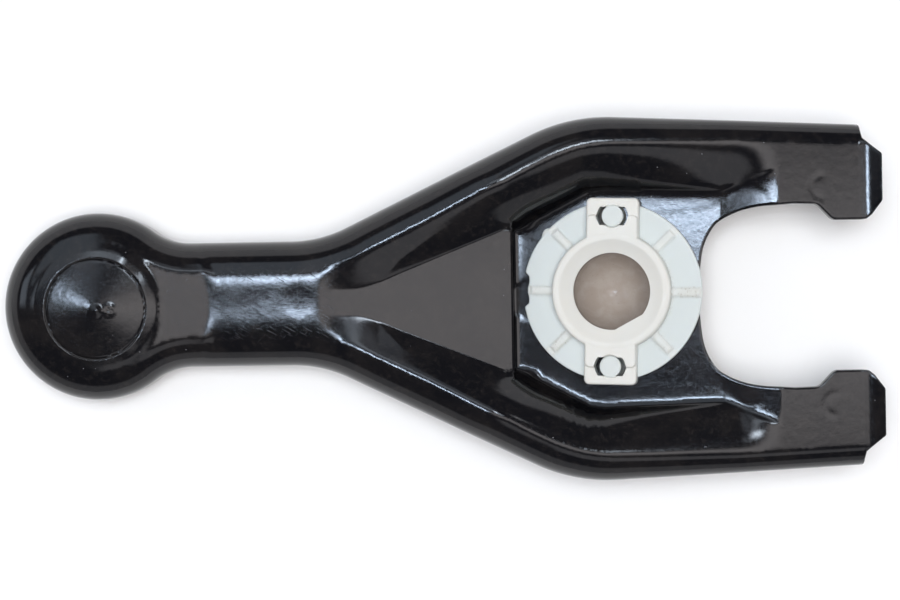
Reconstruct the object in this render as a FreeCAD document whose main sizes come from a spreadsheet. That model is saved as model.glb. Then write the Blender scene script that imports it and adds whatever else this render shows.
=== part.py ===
import FreeCAD, Part
import math
import os
import Sketcher
from FreeCAD import Vector, Rotation, Placement

# Clutch release fork: a pressed sheet-steel lever with a round boss at one end,
# a neck, two raised rails round a sunken web, a tilted pad that carries a moulded
# ball socket, and two fingers with turned-up end lips.
#
# Construction frame: X along the lever from boss to fingers, Y across it,
# Z up from the plane that the flange edges rest on, X = Y = 0 near the pivot.
# Every finished piece is then placed so that the row's origin is the centre of
# the pivot ball.

doc = FreeCAD.newDocument("clutch_fork")

# ---------------------------------------------------------------- dimensions
SIZES = [
    # sheet and heights
    ("wall", 3.0, "sheet thickness"),
    ("neck_top", 14.1, "height of boss and neck top"),
    ("rise", 0.08, "slope of the rails, height per length"),
    ("rise_start", -89.5, "where the rails start to rise"),
    ("rise_end", -8.0, "where the rails level out"),
    ("web_top", 15.9, "height of the flat triangular web"),
    ("edge_round", 4.6, "outer rounding of the pressing"),
    # plan outline, half widths
    ("boss_x", -114.05, "boss centre"),
    ("boss_r", 20.55, "boss outer radius"),
    ("neck_half", 13.5, "half width of the neck"),
    ("neck_blend", 13.7, "blend between boss and neck"),
    ("flare_x", -63.2, "where the neck starts to flare"),
    ("flare_blend", 28.6, "blend radius at the flare"),
    ("shoulder_x", -8.39, "corner of flare and arm"),
    ("shoulder_half", 40.54, "half width at that corner"),
    ("shoulder_blend", 37.0, "blend radius at the shoulder"),
    ("tip_x", 54.8, "end of the finger flanges"),
    ("tip_half", 37.1, "half width at the finger ends"),
    ("flange_run_x", 12.0, "flange edge starts to climb"),
    ("flange_tip_z", 8.0, "height of the flange edge at the tips"),
    # boss crown
    ("crown_x", -114.5, "crown centre"),
    ("crown_y", -0.68, "crown centre, across"),
    ("crown_r", 13.6, "outer radius of the crown"),
    ("crown_rim", 10.95, "radius of the rim"),
    ("crown_rim_z", 0.75, "rim height above the boss"),
    ("crown_step", 0.3, "step inside the rim"),
    ("crown_tip_z", 1.3, "cone tip height above the boss"),
    # sunken web
    ("web_tip_x", -62.6, "narrow end of the web"),
    ("web_tip_half", 2.8, "half width there"),
    ("web_neck_x", -55.2, "end of the narrow tongue"),
    ("web_neck_half", 3.2, "half width there"),
    ("web_mid_x", -46.4, "web, middle station"),
    ("web_mid_half", 6.4, "half width there"),
    ("web_end_x", -21.3, "straight wide end of the web"),
    ("web_end_half", 17.0, "half width there"),
    ("cup_wide_x", -4.4, "widest station of the pad recess"),
    ("cup_wide_half", 26.6, "half width of the recess there"),
    ("cup_end_x", 26.5, "end station of the pad recess"),
    ("cup_end_half", 25.6, "half width there"),
    ("web_side_low", 31.0, "rail side of the web walls, half width"),
    ("web_side_mid", 30.6, "the same at the wide end"),
    ("web_side_wide", 32.6, "the same at the pad"),
    ("ramp_half", 30.0, "half width over which the pad's plane runs on"),
    ("web_side_end", 31.4, "the same at the fingers"),
    # ball-socket pad
    ("pad_angle", 9.65, "tilt of the pad, degrees"),
    ("pad_end_x", 24.2, "where the pad meets the fingers"),
    ("pad_end_drop", 2.64, "pad below the finger face there"),
    ("pad_start_x", -20.9, "where the pad meets the web"),
    ("pad_start_half", 15.3, "half width there"),
    ("pad_wide_x", -4.4, "widest station of the pad"),
    ("pad_wide_half", 24.0, "half width there"),
    ("pad_end_half", 23.1, "half width at the fingers"),
    # openings in the pad
    ("hole_r", 12.3, "socket hole"),
    ("post_hole_r", 3.1, "retaining post holes"),
    ("post_hole_y", 16.5, "post holes from the axis"),
    ("gap_x", 18.9, "bottom of the finger gap"),
    ("gap_half", 19.95, "half width of the finger gap"),
    ("gap_corner", 12.6, "corner radius of the gap"),
    ("hook_x", 45.0, "start of the end hooks"),
    ("hook_run", 3.5, "length of the hook's slanted edge"),
    ("hook_half", 16.4, "half width between the hooks"),
    # end lips
    ("lip_x", 55.3, "bend line of the lips"),
    ("lip_angle", 25.0, "turn-up of the lips, degrees"),
    ("lip_reach", 4.1, "length of the lips beyond the bend"),
    ("lip_half", 34.4, "outer half width of the lips"),
    ("lip_cut", 4.6, "corner cut of the lips"),
    # moulded socket
    ("socket_x", 0.85, "socket axis on the pad, along"),
    ("socket_y", 1.57, "socket axis on the pad, across"),
    ("socket_turn", -1.7, "socket turned in its hole, degrees"),
    ("ball_r", 8.47, "radius of the ball seat"),
    ("ball_over_pad", 1.5, "ball centre above the pad"),
    ("disc_r", 19.7, "socket flange radius"),
    ("disc_thick", 2.0, "socket flange thickness"),
    ("hub_r", 13.05, "hub radius"),
    ("hub_high", 3.5, "hub above the flange"),
    ("mouth_r", 11.4, "top radius of the countersunk mouth"),
    ("mouth_deep", 2.0, "depth of the countersink"),
    ("cup_r", 10.5, "outer radius of the cup"),
    ("cup_wall", 1.1, "wall of the cup round the liner"),
    ("liner_wall", 0.85, "wall of the seat liner"),
    ("ear_half", 5.8, "half width of the ears"),
    ("ear_reach", 20.55, "ears from the axis"),
    ("ear_high", 2.3, "outer ear above the flange"),
    ("block_reach", 16.6, "high ear block from the axis"),
    ("window_y", 16.5, "ear window from the axis"),
    ("window_long", 7.2, "window length"),
    ("window_wide", 4.3, "window width"),
    ("post_r", 2.35, "retaining post head"),
    ("shank_r", 1.3, "post shank below the flange"),
    ("barb_r", 2.6, "post barb"),
    ("rib_wide", 1.6, "rib width"),
    ("rib_high", 0.9, "rib above the flange"),
    ("rib_reach", 18.3, "rib length from the axis"),
    ("notch_half", 3.4, "half length of the flange notch"),
    ("notch_deep", 1.1, "depth of the flange notch"),
]
sheet = doc.addObject("Spreadsheet::Sheet", "Sizes")
VAL = {}
for i, (alias, value, note) in enumerate(SIZES):
    row = i + 1
    sheet.set("A%d" % row, note)
    sheet.set("B%d" % row, repr(value))
    sheet.setAlias("B%d" % row, alias)
    VAL[alias] = value
doc.recompute()


class Q:
    """A length with its value and the sheet formula that it follows."""

    def __init__(self, value, text):
        self.v = float(value)
        self.t = text

    def _mix(self, other, sign, value):
        o = other if isinstance(other, Q) else Q(other, "%.9g" % other)
        return Q(value, "(%s %s %s)" % (self.t, sign, o.t))

    def __add__(self, o):
        return self._mix(o, "+", self.v + num(o))

    def __sub__(self, o):
        return self._mix(o, "-", self.v - num(o))

    def __mul__(self, o):
        return self._mix(o, "*", self.v * num(o))

    def __truediv__(self, o):
        return self._mix(o, "/", self.v / num(o))

    def __neg__(self):
        return Q(-self.v, "(0 - %s)" % self.t)


def num(o):
    return o.v if isinstance(o, Q) else float(o)


def S(alias):
    return Q(VAL[alias], "Sizes." + alias)


def K(value):
    return Q(value, "%.9g" % value)


def tan_(q):
    return Q(math.tan(math.radians(q.v)), "tan(%s * 1 deg)" % q.t)


def cos_(q):
    return Q(math.cos(math.radians(q.v)), "cos(%s * 1 deg)" % q.t)


def sin_(q):
    return Q(math.sin(math.radians(q.v)), "sin(%s * 1 deg)" % q.t)


def sqrt_(q):
    return Q(math.sqrt(q.v), "sqrt(%s)" % q.t)


# ---------------------------------------------------------------- helpers
def new_body(name):
    return doc.addObject("PartDesign::Body", name)


def new_sketch(body, name, plane="XY_Plane", z=None, tilt=None):
    """A sketch on one of the body's origin planes, raised by z and tilted about Y."""
    sk = body.newObject("Sketcher::SketchObject", name)
    ref = [f for f in body.Origin.OriginFeatures if f.Role == plane][0]
    sk.AttachmentSupport = [(ref, "")]
    sk.MapMode = "FlatFace"
    if tilt is not None:
        sk.AttachmentOffset = Placement(Vector(0, 0, num(z) if z is not None else 0),
                                        Rotation(Vector(0, 1, 0), num(tilt)))
        sk.setExpression("AttachmentOffset.Rotation.Angle", tilt.t)
    elif z is not None:
        sk.AttachmentOffset = Placement(Vector(0, 0, num(z)), Rotation())
    if z is not None and isinstance(z, Q):
        sk.setExpression("AttachmentOffset.Base.z", z.t)
    return sk


def pin_point(sk, geo, pos, x, y):
    """Fix a point of the sketch at x, y, with both bound to the sheet."""
    if abs(num(x)) < 1e-9:
        sk.addConstraint(Sketcher.Constraint("PointOnObject", geo, pos, -2))
    else:
        c = sk.addConstraint(Sketcher.Constraint("DistanceX", -1, 1, geo, pos, num(x)))
        if isinstance(x, Q):
            sk.setExpression("Constraints[%d]" % c, x.t)
    if abs(num(y)) < 1e-9:
        sk.addConstraint(Sketcher.Constraint("PointOnObject", geo, pos, -1))
    else:
        c = sk.addConstraint(Sketcher.Constraint("DistanceY", -1, 1, geo, pos, num(y)))
        if isinstance(y, Q):
            sk.setExpression("Constraints[%d]" % c, y.t)


def polygon(sk, pts):
    n = len(pts)
    first = None
    for i in range(n):
        a, b = pts[i], pts[(i + 1) % n]
        g = sk.addGeometry(Part.LineSegment(Vector(num(a[0]), num(a[1]), 0),
                                            Vector(num(b[0]), num(b[1]), 0)), False)
        if first is None:
            first = g
    for i in range(n):
        sk.addConstraint(Sketcher.Constraint("Coincident", first + i, 2,
                                             first + (i + 1) % n, 1))
    for i in range(n):
        pin_point(sk, first + i, 1, pts[i][0], pts[i][1])
    return first


def circle(sk, x, y, r):
    g = sk.addGeometry(Part.Circle(Vector(num(x), num(y), 0), Vector(0, 0, 1), num(r)), False)
    pin_point(sk, g, 3, x, y)
    c = sk.addConstraint(Sketcher.Constraint("Radius", g, num(r)))
    if isinstance(r, Q):
        sk.setExpression("Constraints[%d]" % c, r.t)
    return g


def mirrored(half):
    """Close a half outline, given from left to right, over the X axis."""
    return [(x, y) for x, y in half] + [(x, -y) for x, y in reversed(half)]


def rounded(sk, pts, radii):
    """A closed outline of straight lines whose corners carry tangent arcs."""
    n = len(pts)
    P = [Vector(num(x), num(y), 0) for x, y in pts]
    ends = []
    for i in range(n):
        r = num(radii[i])
        if r <= 0:
            ends.append((P[i], P[i], None))
            continue
        a = (P[i - 1] - P[i]).normalize()
        b = (P[(i + 1) % n] - P[i]).normalize()
        half = math.acos(max(-1, min(1, a.dot(b)))) / 2
        run = r / math.tan(half)
        c = P[i] + (a + b).normalize() * (r / math.sin(half))
        ends.append((P[i] + a * run, P[i] + b * run, c))
    lines = []
    for i in range(n):
        j = (i + 1) % n
        lines.append(sk.addGeometry(Part.LineSegment(ends[i][1], ends[j][0]), False))
    corners = []
    for i in range(n):
        if ends[i][2] is None:
            continue
        t1, t2, c = ends[i]
        r = num(radii[i])
        a1 = math.atan2(t1.y - c.y, t1.x - c.x)
        a2 = math.atan2(t2.y - c.y, t2.x - c.x)
        turn = (a2 - a1) % (2 * math.pi)
        swap = turn > math.pi
        if swap:
            a1, a2 = a2, a1
        g = sk.addGeometry(Part.ArcOfCircle(Part.Circle(c, Vector(0, 0, 1), r), a1, a2), False)
        # the arc's start meets the line before it, unless it runs the other way
        corners.append((i, g, (2, 1) if swap else (1, 2)))
    arcs = {}
    for i, g, pos in corners:
        arcs[i] = (g, pos)
    for i in range(n):
        before, after = lines[i - 1], lines[i]
        if i not in arcs:
            sk.addConstraint(Sketcher.Constraint("Coincident", before, 2, after, 1))
            pin_point(sk, after, 1, pts[i][0], pts[i][1])
            continue
        g, pos = arcs[i]
        sk.addConstraint(Sketcher.Constraint("Tangent", before, 2, g, pos[0]))
        sk.addConstraint(Sketcher.Constraint("Tangent", g, pos[1], after, 1))
        k = sk.addConstraint(Sketcher.Constraint("Radius", g, num(radii[i])))
        if isinstance(radii[i], Q):
            sk.setExpression("Constraints[%d]" % k, radii[i].t)
        # the sharp corner, as a construction point on both lines
        p = sk.addGeometry(Part.Point(P[i]), True)
        pin_point(sk, p, 1, pts[i][0], pts[i][1])
        sk.addConstraint(Sketcher.Constraint("PointOnObject", p, 1, before))
        sk.addConstraint(Sketcher.Constraint("PointOnObject", p, 1, after))


def pad(body, name, sk, length, reverse=False, both=False):
    f = body.newObject("PartDesign::Pad", name)
    f.Profile = sk
    f.Length = num(length)
    if isinstance(length, Q):
        f.setExpression("Length", length.t)
    f.Reversed = reverse
    if both:
        f.SideType = "Symmetric"
    doc.recompute()
    return f


def pocket(body, name, sk, length=None, reverse=False, both=False):
    before = body.Tip.Shape.Volume
    f = body.newObject("PartDesign::Pocket", name)
    f.Profile = sk
    if length is None:
        f.Type = "ThroughAll"
    else:
        f.Length = num(length)
        if isinstance(length, Q):
            f.setExpression("Length", length.t)
    f.Reversed = reverse
    if both:
        f.SideType = "Symmetric"
    doc.recompute()
    after = f.Shape.Volume
    if after > before - 1e-3:
        raise RuntimeError("%s cuts nothing" % name)
    return f


def loft(body, kind, name, a, b):
    f = body.newObject("PartDesign::" + kind, name)
    f.Profile = a
    f.Sections = [b]
    f.Ruled = True
    doc.recompute()
    return f


def round_edges(body, name, base, pick, radius, kind="Fillet"):
    edges = []
    for i, e in enumerate(base.Shape.Edges):
        if pick(e):
            edges.append("Edge%d" % (i + 1))
    if not edges:
        raise RuntimeError("%s finds no edge" % name)
    f = body.newObject("PartDesign::" + kind, name)
    f.Base = (base, edges)
    key = "Radius" if kind == "Fillet" else "Size"
    setattr(f, key, num(radius))
    if isinstance(radius, Q):
        f.setExpression(key, radius.t)
    doc.recompute()
    return f


def upright(e, x, y, tol=0.3):
    """An edge parallel to Z that stands at x, +-y."""
    p, q = e.Vertexes[0].Point, e.Vertexes[-1].Point
    if abs(p.x - q.x) > 1e-4 or abs(p.y - q.y) > 1e-4 or abs(p.z - q.z) < 1:
        return False
    return abs(p.x - x) < tol and abs(abs(p.y) - y) < tol


# ---------------------------------------------------------------- the pressing
flare = (S("shoulder_half") - S("neck_half")) / (S("shoulder_x") - S("flare_x"))
taper = (S("shoulder_half") - S("tip_half")) / (S("tip_x") - S("shoulder_x"))
flare_len = sqrt_(flare * flare + 1)
taper_len = sqrt_(taper * taper + 1)
finger_top = S("neck_top") + S("rise") * (S("rise_end") - S("rise_start"))
pad_slope = tan_(S("pad_angle"))
# height of the pad plane over X = 0
pad_zero = finger_top - S("pad_end_drop") - pad_slope * S("pad_end_x")


def pressing(name, o):
    """The outer form of the pressing (o = 0) or its hollow (o = 1).

    The hollow is the same form moved inward by the sheet thickness, and it
    runs out below the flange edges."""
    body = new_body(name)
    w = S("wall") * o
    base_z = K(-1.0 * o - 0.0)
    # plan: neck, flare and arms
    half = [
        (S("boss_x"), S("neck_half") - w),
        (S("flare_x") + w * (flare_len - 1) / flare, S("neck_half") - w),
        (S("shoulder_x") + w * (flare_len - taper_len) / (flare + taper),
         S("shoulder_half") - w * flare_len
         + flare * w * (flare_len - taper_len) / (flare + taper)),
        (S("tip_x") + 8.0 * o, S("tip_half") - w * taper_len - taper * 8.0 * o),
    ]
    sk = new_sketch(body, name + "_plan", z=K(-2.0) if o else None)
    polygon(sk, mirrored(half))
    high = finger_top + 2.0 * o + 2.0
    p = pad(body, name + "_blank", sk, high)
    # boss
    sk = new_sketch(body, name + "_boss_plan", z=K(-2.0) if o else None)
    circle(sk, S("boss_x"), 0, S("boss_r") - w)
    p = pad(body, name + "_boss", sk, high)
    # plan blends
    if abs(o) < 0.5:
        r_neck = S("neck_blend")
    else:
        r_neck = S("neck_blend") + w
    nh = (S("neck_half") - w).v
    rb = (S("boss_r") - w).v
    xj = S("boss_x").v + math.sqrt(rb * rb - nh * nh)
    p = round_edges(body, name + "_neck_blend", p, lambda e: upright(e, xj, nh), r_neck)
    p = round_edges(body, name + "_flare_blend", p,
                    lambda e: upright(e, half[1][0].v, half[1][1].v),
                    S("flare_blend") + w)
    p = round_edges(body, name + "_shoulder_blend", p,
                    lambda e: upright(e, half[2][0].v, half[2][1].v),
                    S("shoulder_blend") - w)
    # side view: level boss and neck, rising rails, level fingers
    drop = w
    lean = sqrt_(S("rise") * S("rise") + 1)
    sk = new_sketch(body, name + "_side", "XZ_Plane")
    polygon(sk, [
        (K(-150.0), S("neck_top") - drop),
        (S("rise_start") + drop * (lean - 1) / S("rise") , S("neck_top") - drop),
        (S("rise_end") + drop * (lean - 1) / S("rise"), finger_top - drop),
        (K(80.0), finger_top - drop),
        (K(80.0), K(60.0)),
        (K(-150.0), K(60.0)),
    ])
    p = pocket(body, name + "_side_cut", sk, both=True)
    # rounding of the outer edge
    top_faces = []

    def outer_edge(e):
        b = e.BoundBox
        z_ok = b.ZMin > (S("neck_top") - w).v - 0.4
        if not z_ok:
            return False
        # not the cross edges of the side view, and not the open finger ends
        if b.XLength < 1e-3:
            return False
        c = e.valueAt((e.FirstParameter + e.LastParameter) / 2)
        inside = half_width(c.x, w.v)
        return abs(abs(c.y) - inside) < 0.8 or math.hypot(c.x - S("boss_x").v, c.y) > rb - 0.6
    p = round_edges(body, name + "_rounding", p, outer_edge, S("edge_round") - w)
    return body, p


def half_width(x, w):
    """Half width of the blank's straight lines at station x, moved in by w."""
    f, t = flare.v, taper.v
    a = S("neck_half").v - w
    b = S("neck_half").v + f * (x - S("flare_x").v) - w * flare_len.v
    c = S("shoulder_half").v - t * (x - S("shoulder_x").v) - w * taper_len.v
    return min(max(a, b), c)




def sunken(body, name, o):
    """Press the web and the tilted pad into the form, or into its hollow."""
    w = S("wall") * o
    e = K(0.45 * o)
    # web: the flat triangle and the long slopes up to the rails
    low = [
        (S("web_tip_x") - e, S("web_tip_half") + e),
        (S("web_neck_x"), S("web_neck_half") + e),
        (S("web_mid_x"), S("web_mid_half") + e),
        (S("web_end_x"), S("web_end_half") + e),
        (S("cup_wide_x"), S("cup_wide_half") + e),
        (S("cup_end_x"), S("cup_end_half") + e),
    ]
    high = [
        (S("web_tip_x") - 5.4 - e, S("web_side_low") - 7.0 + e),
        (S("web_neck_x") - 1.8, S("web_side_low") - 2.0 + e),
        (S("web_mid_x") - 1.1, S("web_side_low") + e),
        (S("web_end_x") - 0.2, S("web_side_mid") + e),
        (S("cup_wide_x"), S("web_side_wide") + e),
        (S("cup_end_x") + 8.0, S("web_side_end") + e),
    ]
    a = new_sketch(body, name + "_web_floor", z=S("web_top") - w)
    polygon(a, mirrored(low))
    b = new_sketch(body, name + "_web_rim", z=finger_top + 0.5 - w)
    polygon(b, mirrored(high))
    before = body.Tip.Shape.Volume
    p = loft(body, "SubtractiveLoft", name + "_web", a, b)
    if p.Shape.Volume > before - 1:
        raise RuntimeError("web cuts nothing")
    # the pad's plane runs on to the rails and up to the fingers
    sk = new_sketch(body, name + "_ramp_side", "XZ_Plane")
    polygon(sk, [
        (K(8.0), K(9.0) - w),
        (K(8.0), pad_zero + pad_slope * 8.0 - w),
        (S("pad_end_x"), pad_zero + pad_slope * S("pad_end_x") - w),
        (S("pad_end_x") + 8.0, finger_top - w),
        (K(40.0), finger_top - w),
        (K(40.0), K(9.0) - w),
    ])
    before = body.Tip.Shape.Volume
    p = pad(body, name + "_ramp", sk, S("ramp_half") * 2, both=True)
    # pad: the tilted floor round the socket and its steep wall
    e = K(1.95 * o)
    c = cos_(S("pad_angle"))
    drop = w / c
    tilt = -S("pad_angle")
    a = new_sketch(body, name + "_pad_floor", z=pad_zero - drop, tilt=tilt)
    polygon(a, mirrored([
        ((S("pad_start_x") - e) / c, S("pad_start_half") + e),
        (S("pad_wide_x") / c, S("pad_wide_half") + e),
        ((S("pad_end_x") - e * 0.1) / c, S("pad_end_half") + e),
    ]))
    b = new_sketch(body, name + "_pad_rim", z=pad_zero - drop + 8.0, tilt=tilt)
    polygon(b, mirrored([
        ((S("pad_start_x") - 0.6 - e) / c, S("pad_start_half") + 3.6 + e),
        (S("pad_wide_x") / c, S("pad_wide_half") + 3.6 + e),
        ((S("pad_end_x") + 44.4 - e * 0.1) / c, S("pad_end_half") + 3.6 + e),
    ]))
    before = body.Tip.Shape.Volume
    p = loft(body, "SubtractiveLoft", name + "_pad", a, b)
    if p.Shape.Volume > before - 1:
        raise RuntimeError("pad cuts nothing")
    # boss crown: a low rim and a shallow cone
    sk = new_sketch(body, name + "_crown_half", "XZ_Plane")
    sk.AttachmentOffset = Placement(Vector(VAL["crown_x"], 0, -VAL["crown_y"]), Rotation())
    sk.setExpression("AttachmentOffset.Base.x", "Sizes.crown_x")
    sk.setExpression("AttachmentOffset.Base.z", "0 - Sizes.crown_y")
    t = S("neck_top") - w
    polygon(sk, [
        (K(0), t - 1.5),
        (S("crown_r") - w * 0.1, t - 1.5),
        (S("crown_r") - w * 0.1, t),
        (S("crown_rim"), t + S("crown_rim_z")),
        (S("crown_rim") - 0.25, t + S("crown_rim_z") - S("crown_step")),
        (K(0), t + S("crown_tip_z")),
    ])
    f = body.newObject("PartDesign::Revolution", name + "_crown")
    f.Profile = sk
    f.ReferenceAxis = (sk, ["V_Axis"])
    f.Angle = 360
    doc.recompute()
    return f


outer, p_outer = pressing("pressing", 0)
p_outer = sunken(outer, "pressing", 0)
inner, p_inner = pressing("hollow", 1)
p_inner = sunken(inner, "hollow", 1)

# end lips: the sheet runs on past the finger flanges and turns up
lip_rise = S("lip_reach") * sin_(S("lip_angle"))
lip_run = S("lip_reach") * cos_(S("lip_angle"))
sk = new_sketch(outer, "lip_side", "XZ_Plane")
polygon(sk, [
    (S("tip_x") - 2.0, finger_top),
    (S("lip_x"), finger_top),
    (S("lip_x") + lip_run, finger_top + lip_rise),
    (S("lip_x") + lip_run + S("wall") * sin_(S("lip_angle")),
     finger_top + lip_rise - S("wall") * cos_(S("lip_angle"))),
    (S("lip_x") + S("wall") * tan_(S("lip_angle") / 2), finger_top - S("wall")),
    (S("tip_x") - 2.0, finger_top - S("wall")),
])
p = pad(outer, "lips", sk, S("lip_half") * 2, both=True)
lip_end = S("lip_x") + lip_run + S("wall") * sin_(S("lip_angle"))
sk = new_sketch(outer, "lip_corners")
for side in (1, -1):
    polygon(sk, [
        (lip_end - S("lip_cut"), S("lip_half") * side),
        (lip_end + 1.0, (S("lip_half") - S("lip_cut") - 1.0) * side),
        (lip_end + 1.0, (S("lip_half") + 1.0) * side),
        (lip_end - S("lip_cut"), (S("lip_half") + 1.0) * side),
    ])
p = pocket(outer, "lip_corner_cut", sk, both=True)

# finger gap with its hooks
sk = new_sketch(outer, "gap_plan")
rounded(sk, [
    (S("gap_x"), S("gap_half")),
    (S("gap_x"), -S("gap_half")),
    (S("hook_x"), -S("gap_half")),
    (S("hook_x") + S("hook_run"), -S("hook_half")),
    (lip_end - S("lip_cut") + 0.6, -S("hook_half")),
    (lip_end + 2.0, -S("hook_half") - S("lip_cut") - 1.4),
    (K(90.0), -S("hook_half") - S("lip_cut") - 1.4),
    (K(90.0), S("hook_half") + S("lip_cut") + 1.4),
    (lip_end + 2.0, S("hook_half") + S("lip_cut") + 1.4),
    (lip_end - S("lip_cut") + 0.6, S("hook_half")),
    (S("hook_x") + S("hook_run"), S("hook_half")),
    (S("hook_x"), S("gap_half")),
], [S("gap_corner"), S("gap_corner"), K(1.0), K(1.0), K(1.0), 0, 0, 0, 0, K(1.0), K(1.0), K(1.0)])
p = pocket(outer, "gap", sk, both=True)

# socket hole and post holes, square to the pad
c_pad = cos_(S("pad_angle"))
sk = new_sketch(outer, "pad_holes", z=pad_zero, tilt=-S("pad_angle"))
circle(sk, S("socket_x") / c_pad, 0, S("hole_r"))
circle(sk, S("socket_x") / c_pad, S("post_hole_y"), S("post_hole_r"))
circle(sk, S("socket_x") / c_pad, -S("post_hole_y"), S("post_hole_r"))
p = pocket(outer, "pad_hole_cut", sk, both=True)

# flange edges climb towards the finger ends
sk = new_sketch(outer, "flange_side", "XZ_Plane")
climb = S("flange_tip_z") / (S("tip_x") - S("flange_run_x"))
polygon(sk, [
    (S("flange_run_x"), K(-5.0)),
    (S("flange_run_x"), K(0)),
    (K(70.0), climb * (K(70.0) - S("flange_run_x"))),
    (K(70.0), K(-5.0)),
])
p = pocket(outer, "flange_run", sk, both=True)

fork = doc.addObject("Part::Cut", "fork")
fork.Base = outer
fork.Tool = inner
fork.Label = "fork_lever"
doc.recompute()
print("fork", fork.Shape.Volume, fork.Shape.isValid(), len(fork.Shape.Solids), fork.Shape.BoundBox)


# ---------------------------------------------------------------- the moulded socket
def prim(body, kind, name, at, **dims):
    """An additive or subtractive primitive whose sizes follow the sheet."""
    f = body.newObject("PartDesign::" + kind, name)
    f.Placement = Placement(Vector(num(at[0]), num(at[1]), num(at[2])), Rotation())
    for axis, q in zip("xyz", at):
        if isinstance(q, Q):
            f.setExpression("Placement.Base." + axis, q.t)
    for key, q in dims.items():
        setattr(f, key, num(q))
        if isinstance(q, Q):
            f.setExpression(key, q.t)
    before = body.Tip.Shape.Volume if body.Tip and body.Tip != f and kind.startswith("Sub") else None
    doc.recompute()
    return f


flange_under = -S("ball_over_pad")
flange_top = S("disc_thick") - S("ball_over_pad")
hub_top = flange_top + S("hub_high")
mouth_low = hub_top - S("mouth_deep")
lip_thick = 0.6
ear_top = flange_top + S("ear_high")
nest_r = S("ball_r") + S("liner_wall")
shell_r = nest_r + S("cup_wall")

socket = new_body("socket")
socket.Label = "ball_socket"
prim(socket, "AdditiveCylinder", "flange", (0, 0, flange_under), Radius=S("disc_r"), Height=S("disc_thick"))
prim(socket, "AdditiveSphere", "cup_back", (0, 0, 0), Radius=shell_r, Angle1=-90, Angle2=0)
prim(socket, "AdditiveCylinder", "hub", (0, 0, 0), Radius=S("hub_r"), Height=hub_top)
# flange notch
prim(socket, "SubtractiveBox", "flange_notch",
     (-S("disc_r") - 1.0, -S("notch_half"), flange_under - 1.0),
     Length=S("notch_deep") + 1.0, Width=S("notch_half") * 2, Height=S("disc_thick") + 2.0)
# ribs
rib = prim(socket, "AdditiveBox", "rib", (0, -(S("rib_wide") / 2), flange_top - 0.5),
           Length=S("rib_reach"), Width=S("rib_wide"), Height=S("rib_high") + 0.5)
pat = socket.newObject("PartDesign::PolarPattern", "ribs")
pat.Originals = [rib]
pat.Axis = (socket.Origin.OriginFeatures[2], [""])
pat.Angle = 360
pat.Occurrences = 8
socket.Tip = pat
doc.recompute()
prim(socket, "AdditiveBox", "ear_plate", (-S("ear_half"), -S("ear_reach"), flange_under),
     Length=S("ear_half") * 2, Width=S("ear_reach") * 2, Height=ear_top - flange_under)
p = prim(socket, "AdditiveBox", "ear_block", (-S("ear_half") + 0.2, -S("block_reach"), 0),
         Length=S("ear_half") * 2 - 0.4, Width=S("block_reach") * 2, Height=hub_top)
p = round_edges(socket, "ear_corners", p,
                lambda e: upright(e, S("ear_half").v, S("ear_reach").v)
                or upright(e, -S("ear_half").v, S("ear_reach").v), K(1.5))
# countersunk mouth, the hole in its lip, and the nest of the liner
prim(socket, "SubtractiveCone", "mouth", (0, 0, mouth_low),
     Radius1=S("ball_r"), Radius2=S("mouth_r"), Height=S("mouth_deep"))
sk = new_sketch(socket, "lip_hole", z=mouth_low)
g = circle(sk, 0, 0, S("ball_r"))
pocket(socket, "lip_cut_hole", sk, K(1.0))
prim(socket, "SubtractiveCylinder", "nest", (0, 0, 0), Radius=nest_r, Height=mouth_low - lip_thick)
prim(socket, "SubtractiveSphere", "nest_end", (0, 0, 0), Radius=nest_r, Angle1=-90, Angle2=0)
# ear windows with bowed ends
for side, tag in ((1, "far"), (-1, "near")):
    sk = new_sketch(socket, "window_%s_plan" % tag)
    hl, hw = S("window_long") / 2, S("window_wide") / 2
    cy = S("window_y") * side
    polygon(sk, [
        (-hl + 0.9, cy - hw), (hl - 0.9, cy - hw), (hl, cy), (hl - 0.9, cy + hw),
        (-hl + 0.9, cy + hw), (-hl, cy),
    ])
    pocket(socket, "window_" + tag, sk, both=True)
    prim(socket, "AdditiveCylinder", "post_head_" + tag, (0, cy, flange_under),
         Radius=S("post_r"), Height=ear_top - flange_under)
    prim(socket, "AdditiveCylinder", "post_shank_" + tag,
         (0, cy, flange_under - S("wall") - 1.0),
         Radius=S("shank_r"), Height=S("wall") + 1.5)
    prim(socket, "AdditiveCone", "post_barb_" + tag,
         (0, cy, flange_under - S("wall") - 2.4),
         Radius1=S("shank_r") * 0.6, Radius2=S("barb_r"), Height=K(2.2))
doc.recompute()
print("socket", socket.Shape.Volume, socket.Shape.isValid(), len(socket.Shape.Solids), socket.Shape.BoundBox)

# ---------------------------------------------------------------- the seat liner
liner = new_body("liner")
liner.Label = "seat_liner"
fit = 0.02
prim(liner, "AdditiveCylinder", "liner_rim", (0, 0, 0), Radius=nest_r - fit, Height=mouth_low - lip_thick - fit)
prim(liner, "AdditiveSphere", "liner_back", (0, 0, 0), Radius=nest_r - fit, Angle1=-90, Angle2=0)
prim(liner, "SubtractiveCylinder", "liner_bore", (0, 0, 0), Radius=S("ball_r"), Height=mouth_low)
prim(liner, "SubtractiveSphere", "liner_bowl", (0, 0, 0), Radius=S("ball_r"), Angle1=-90, Angle2=0)
doc.recompute()
print("liner", liner.Shape.Volume, liner.Shape.isValid(), len(liner.Shape.Solids), liner.Shape.BoundBox)

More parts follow.
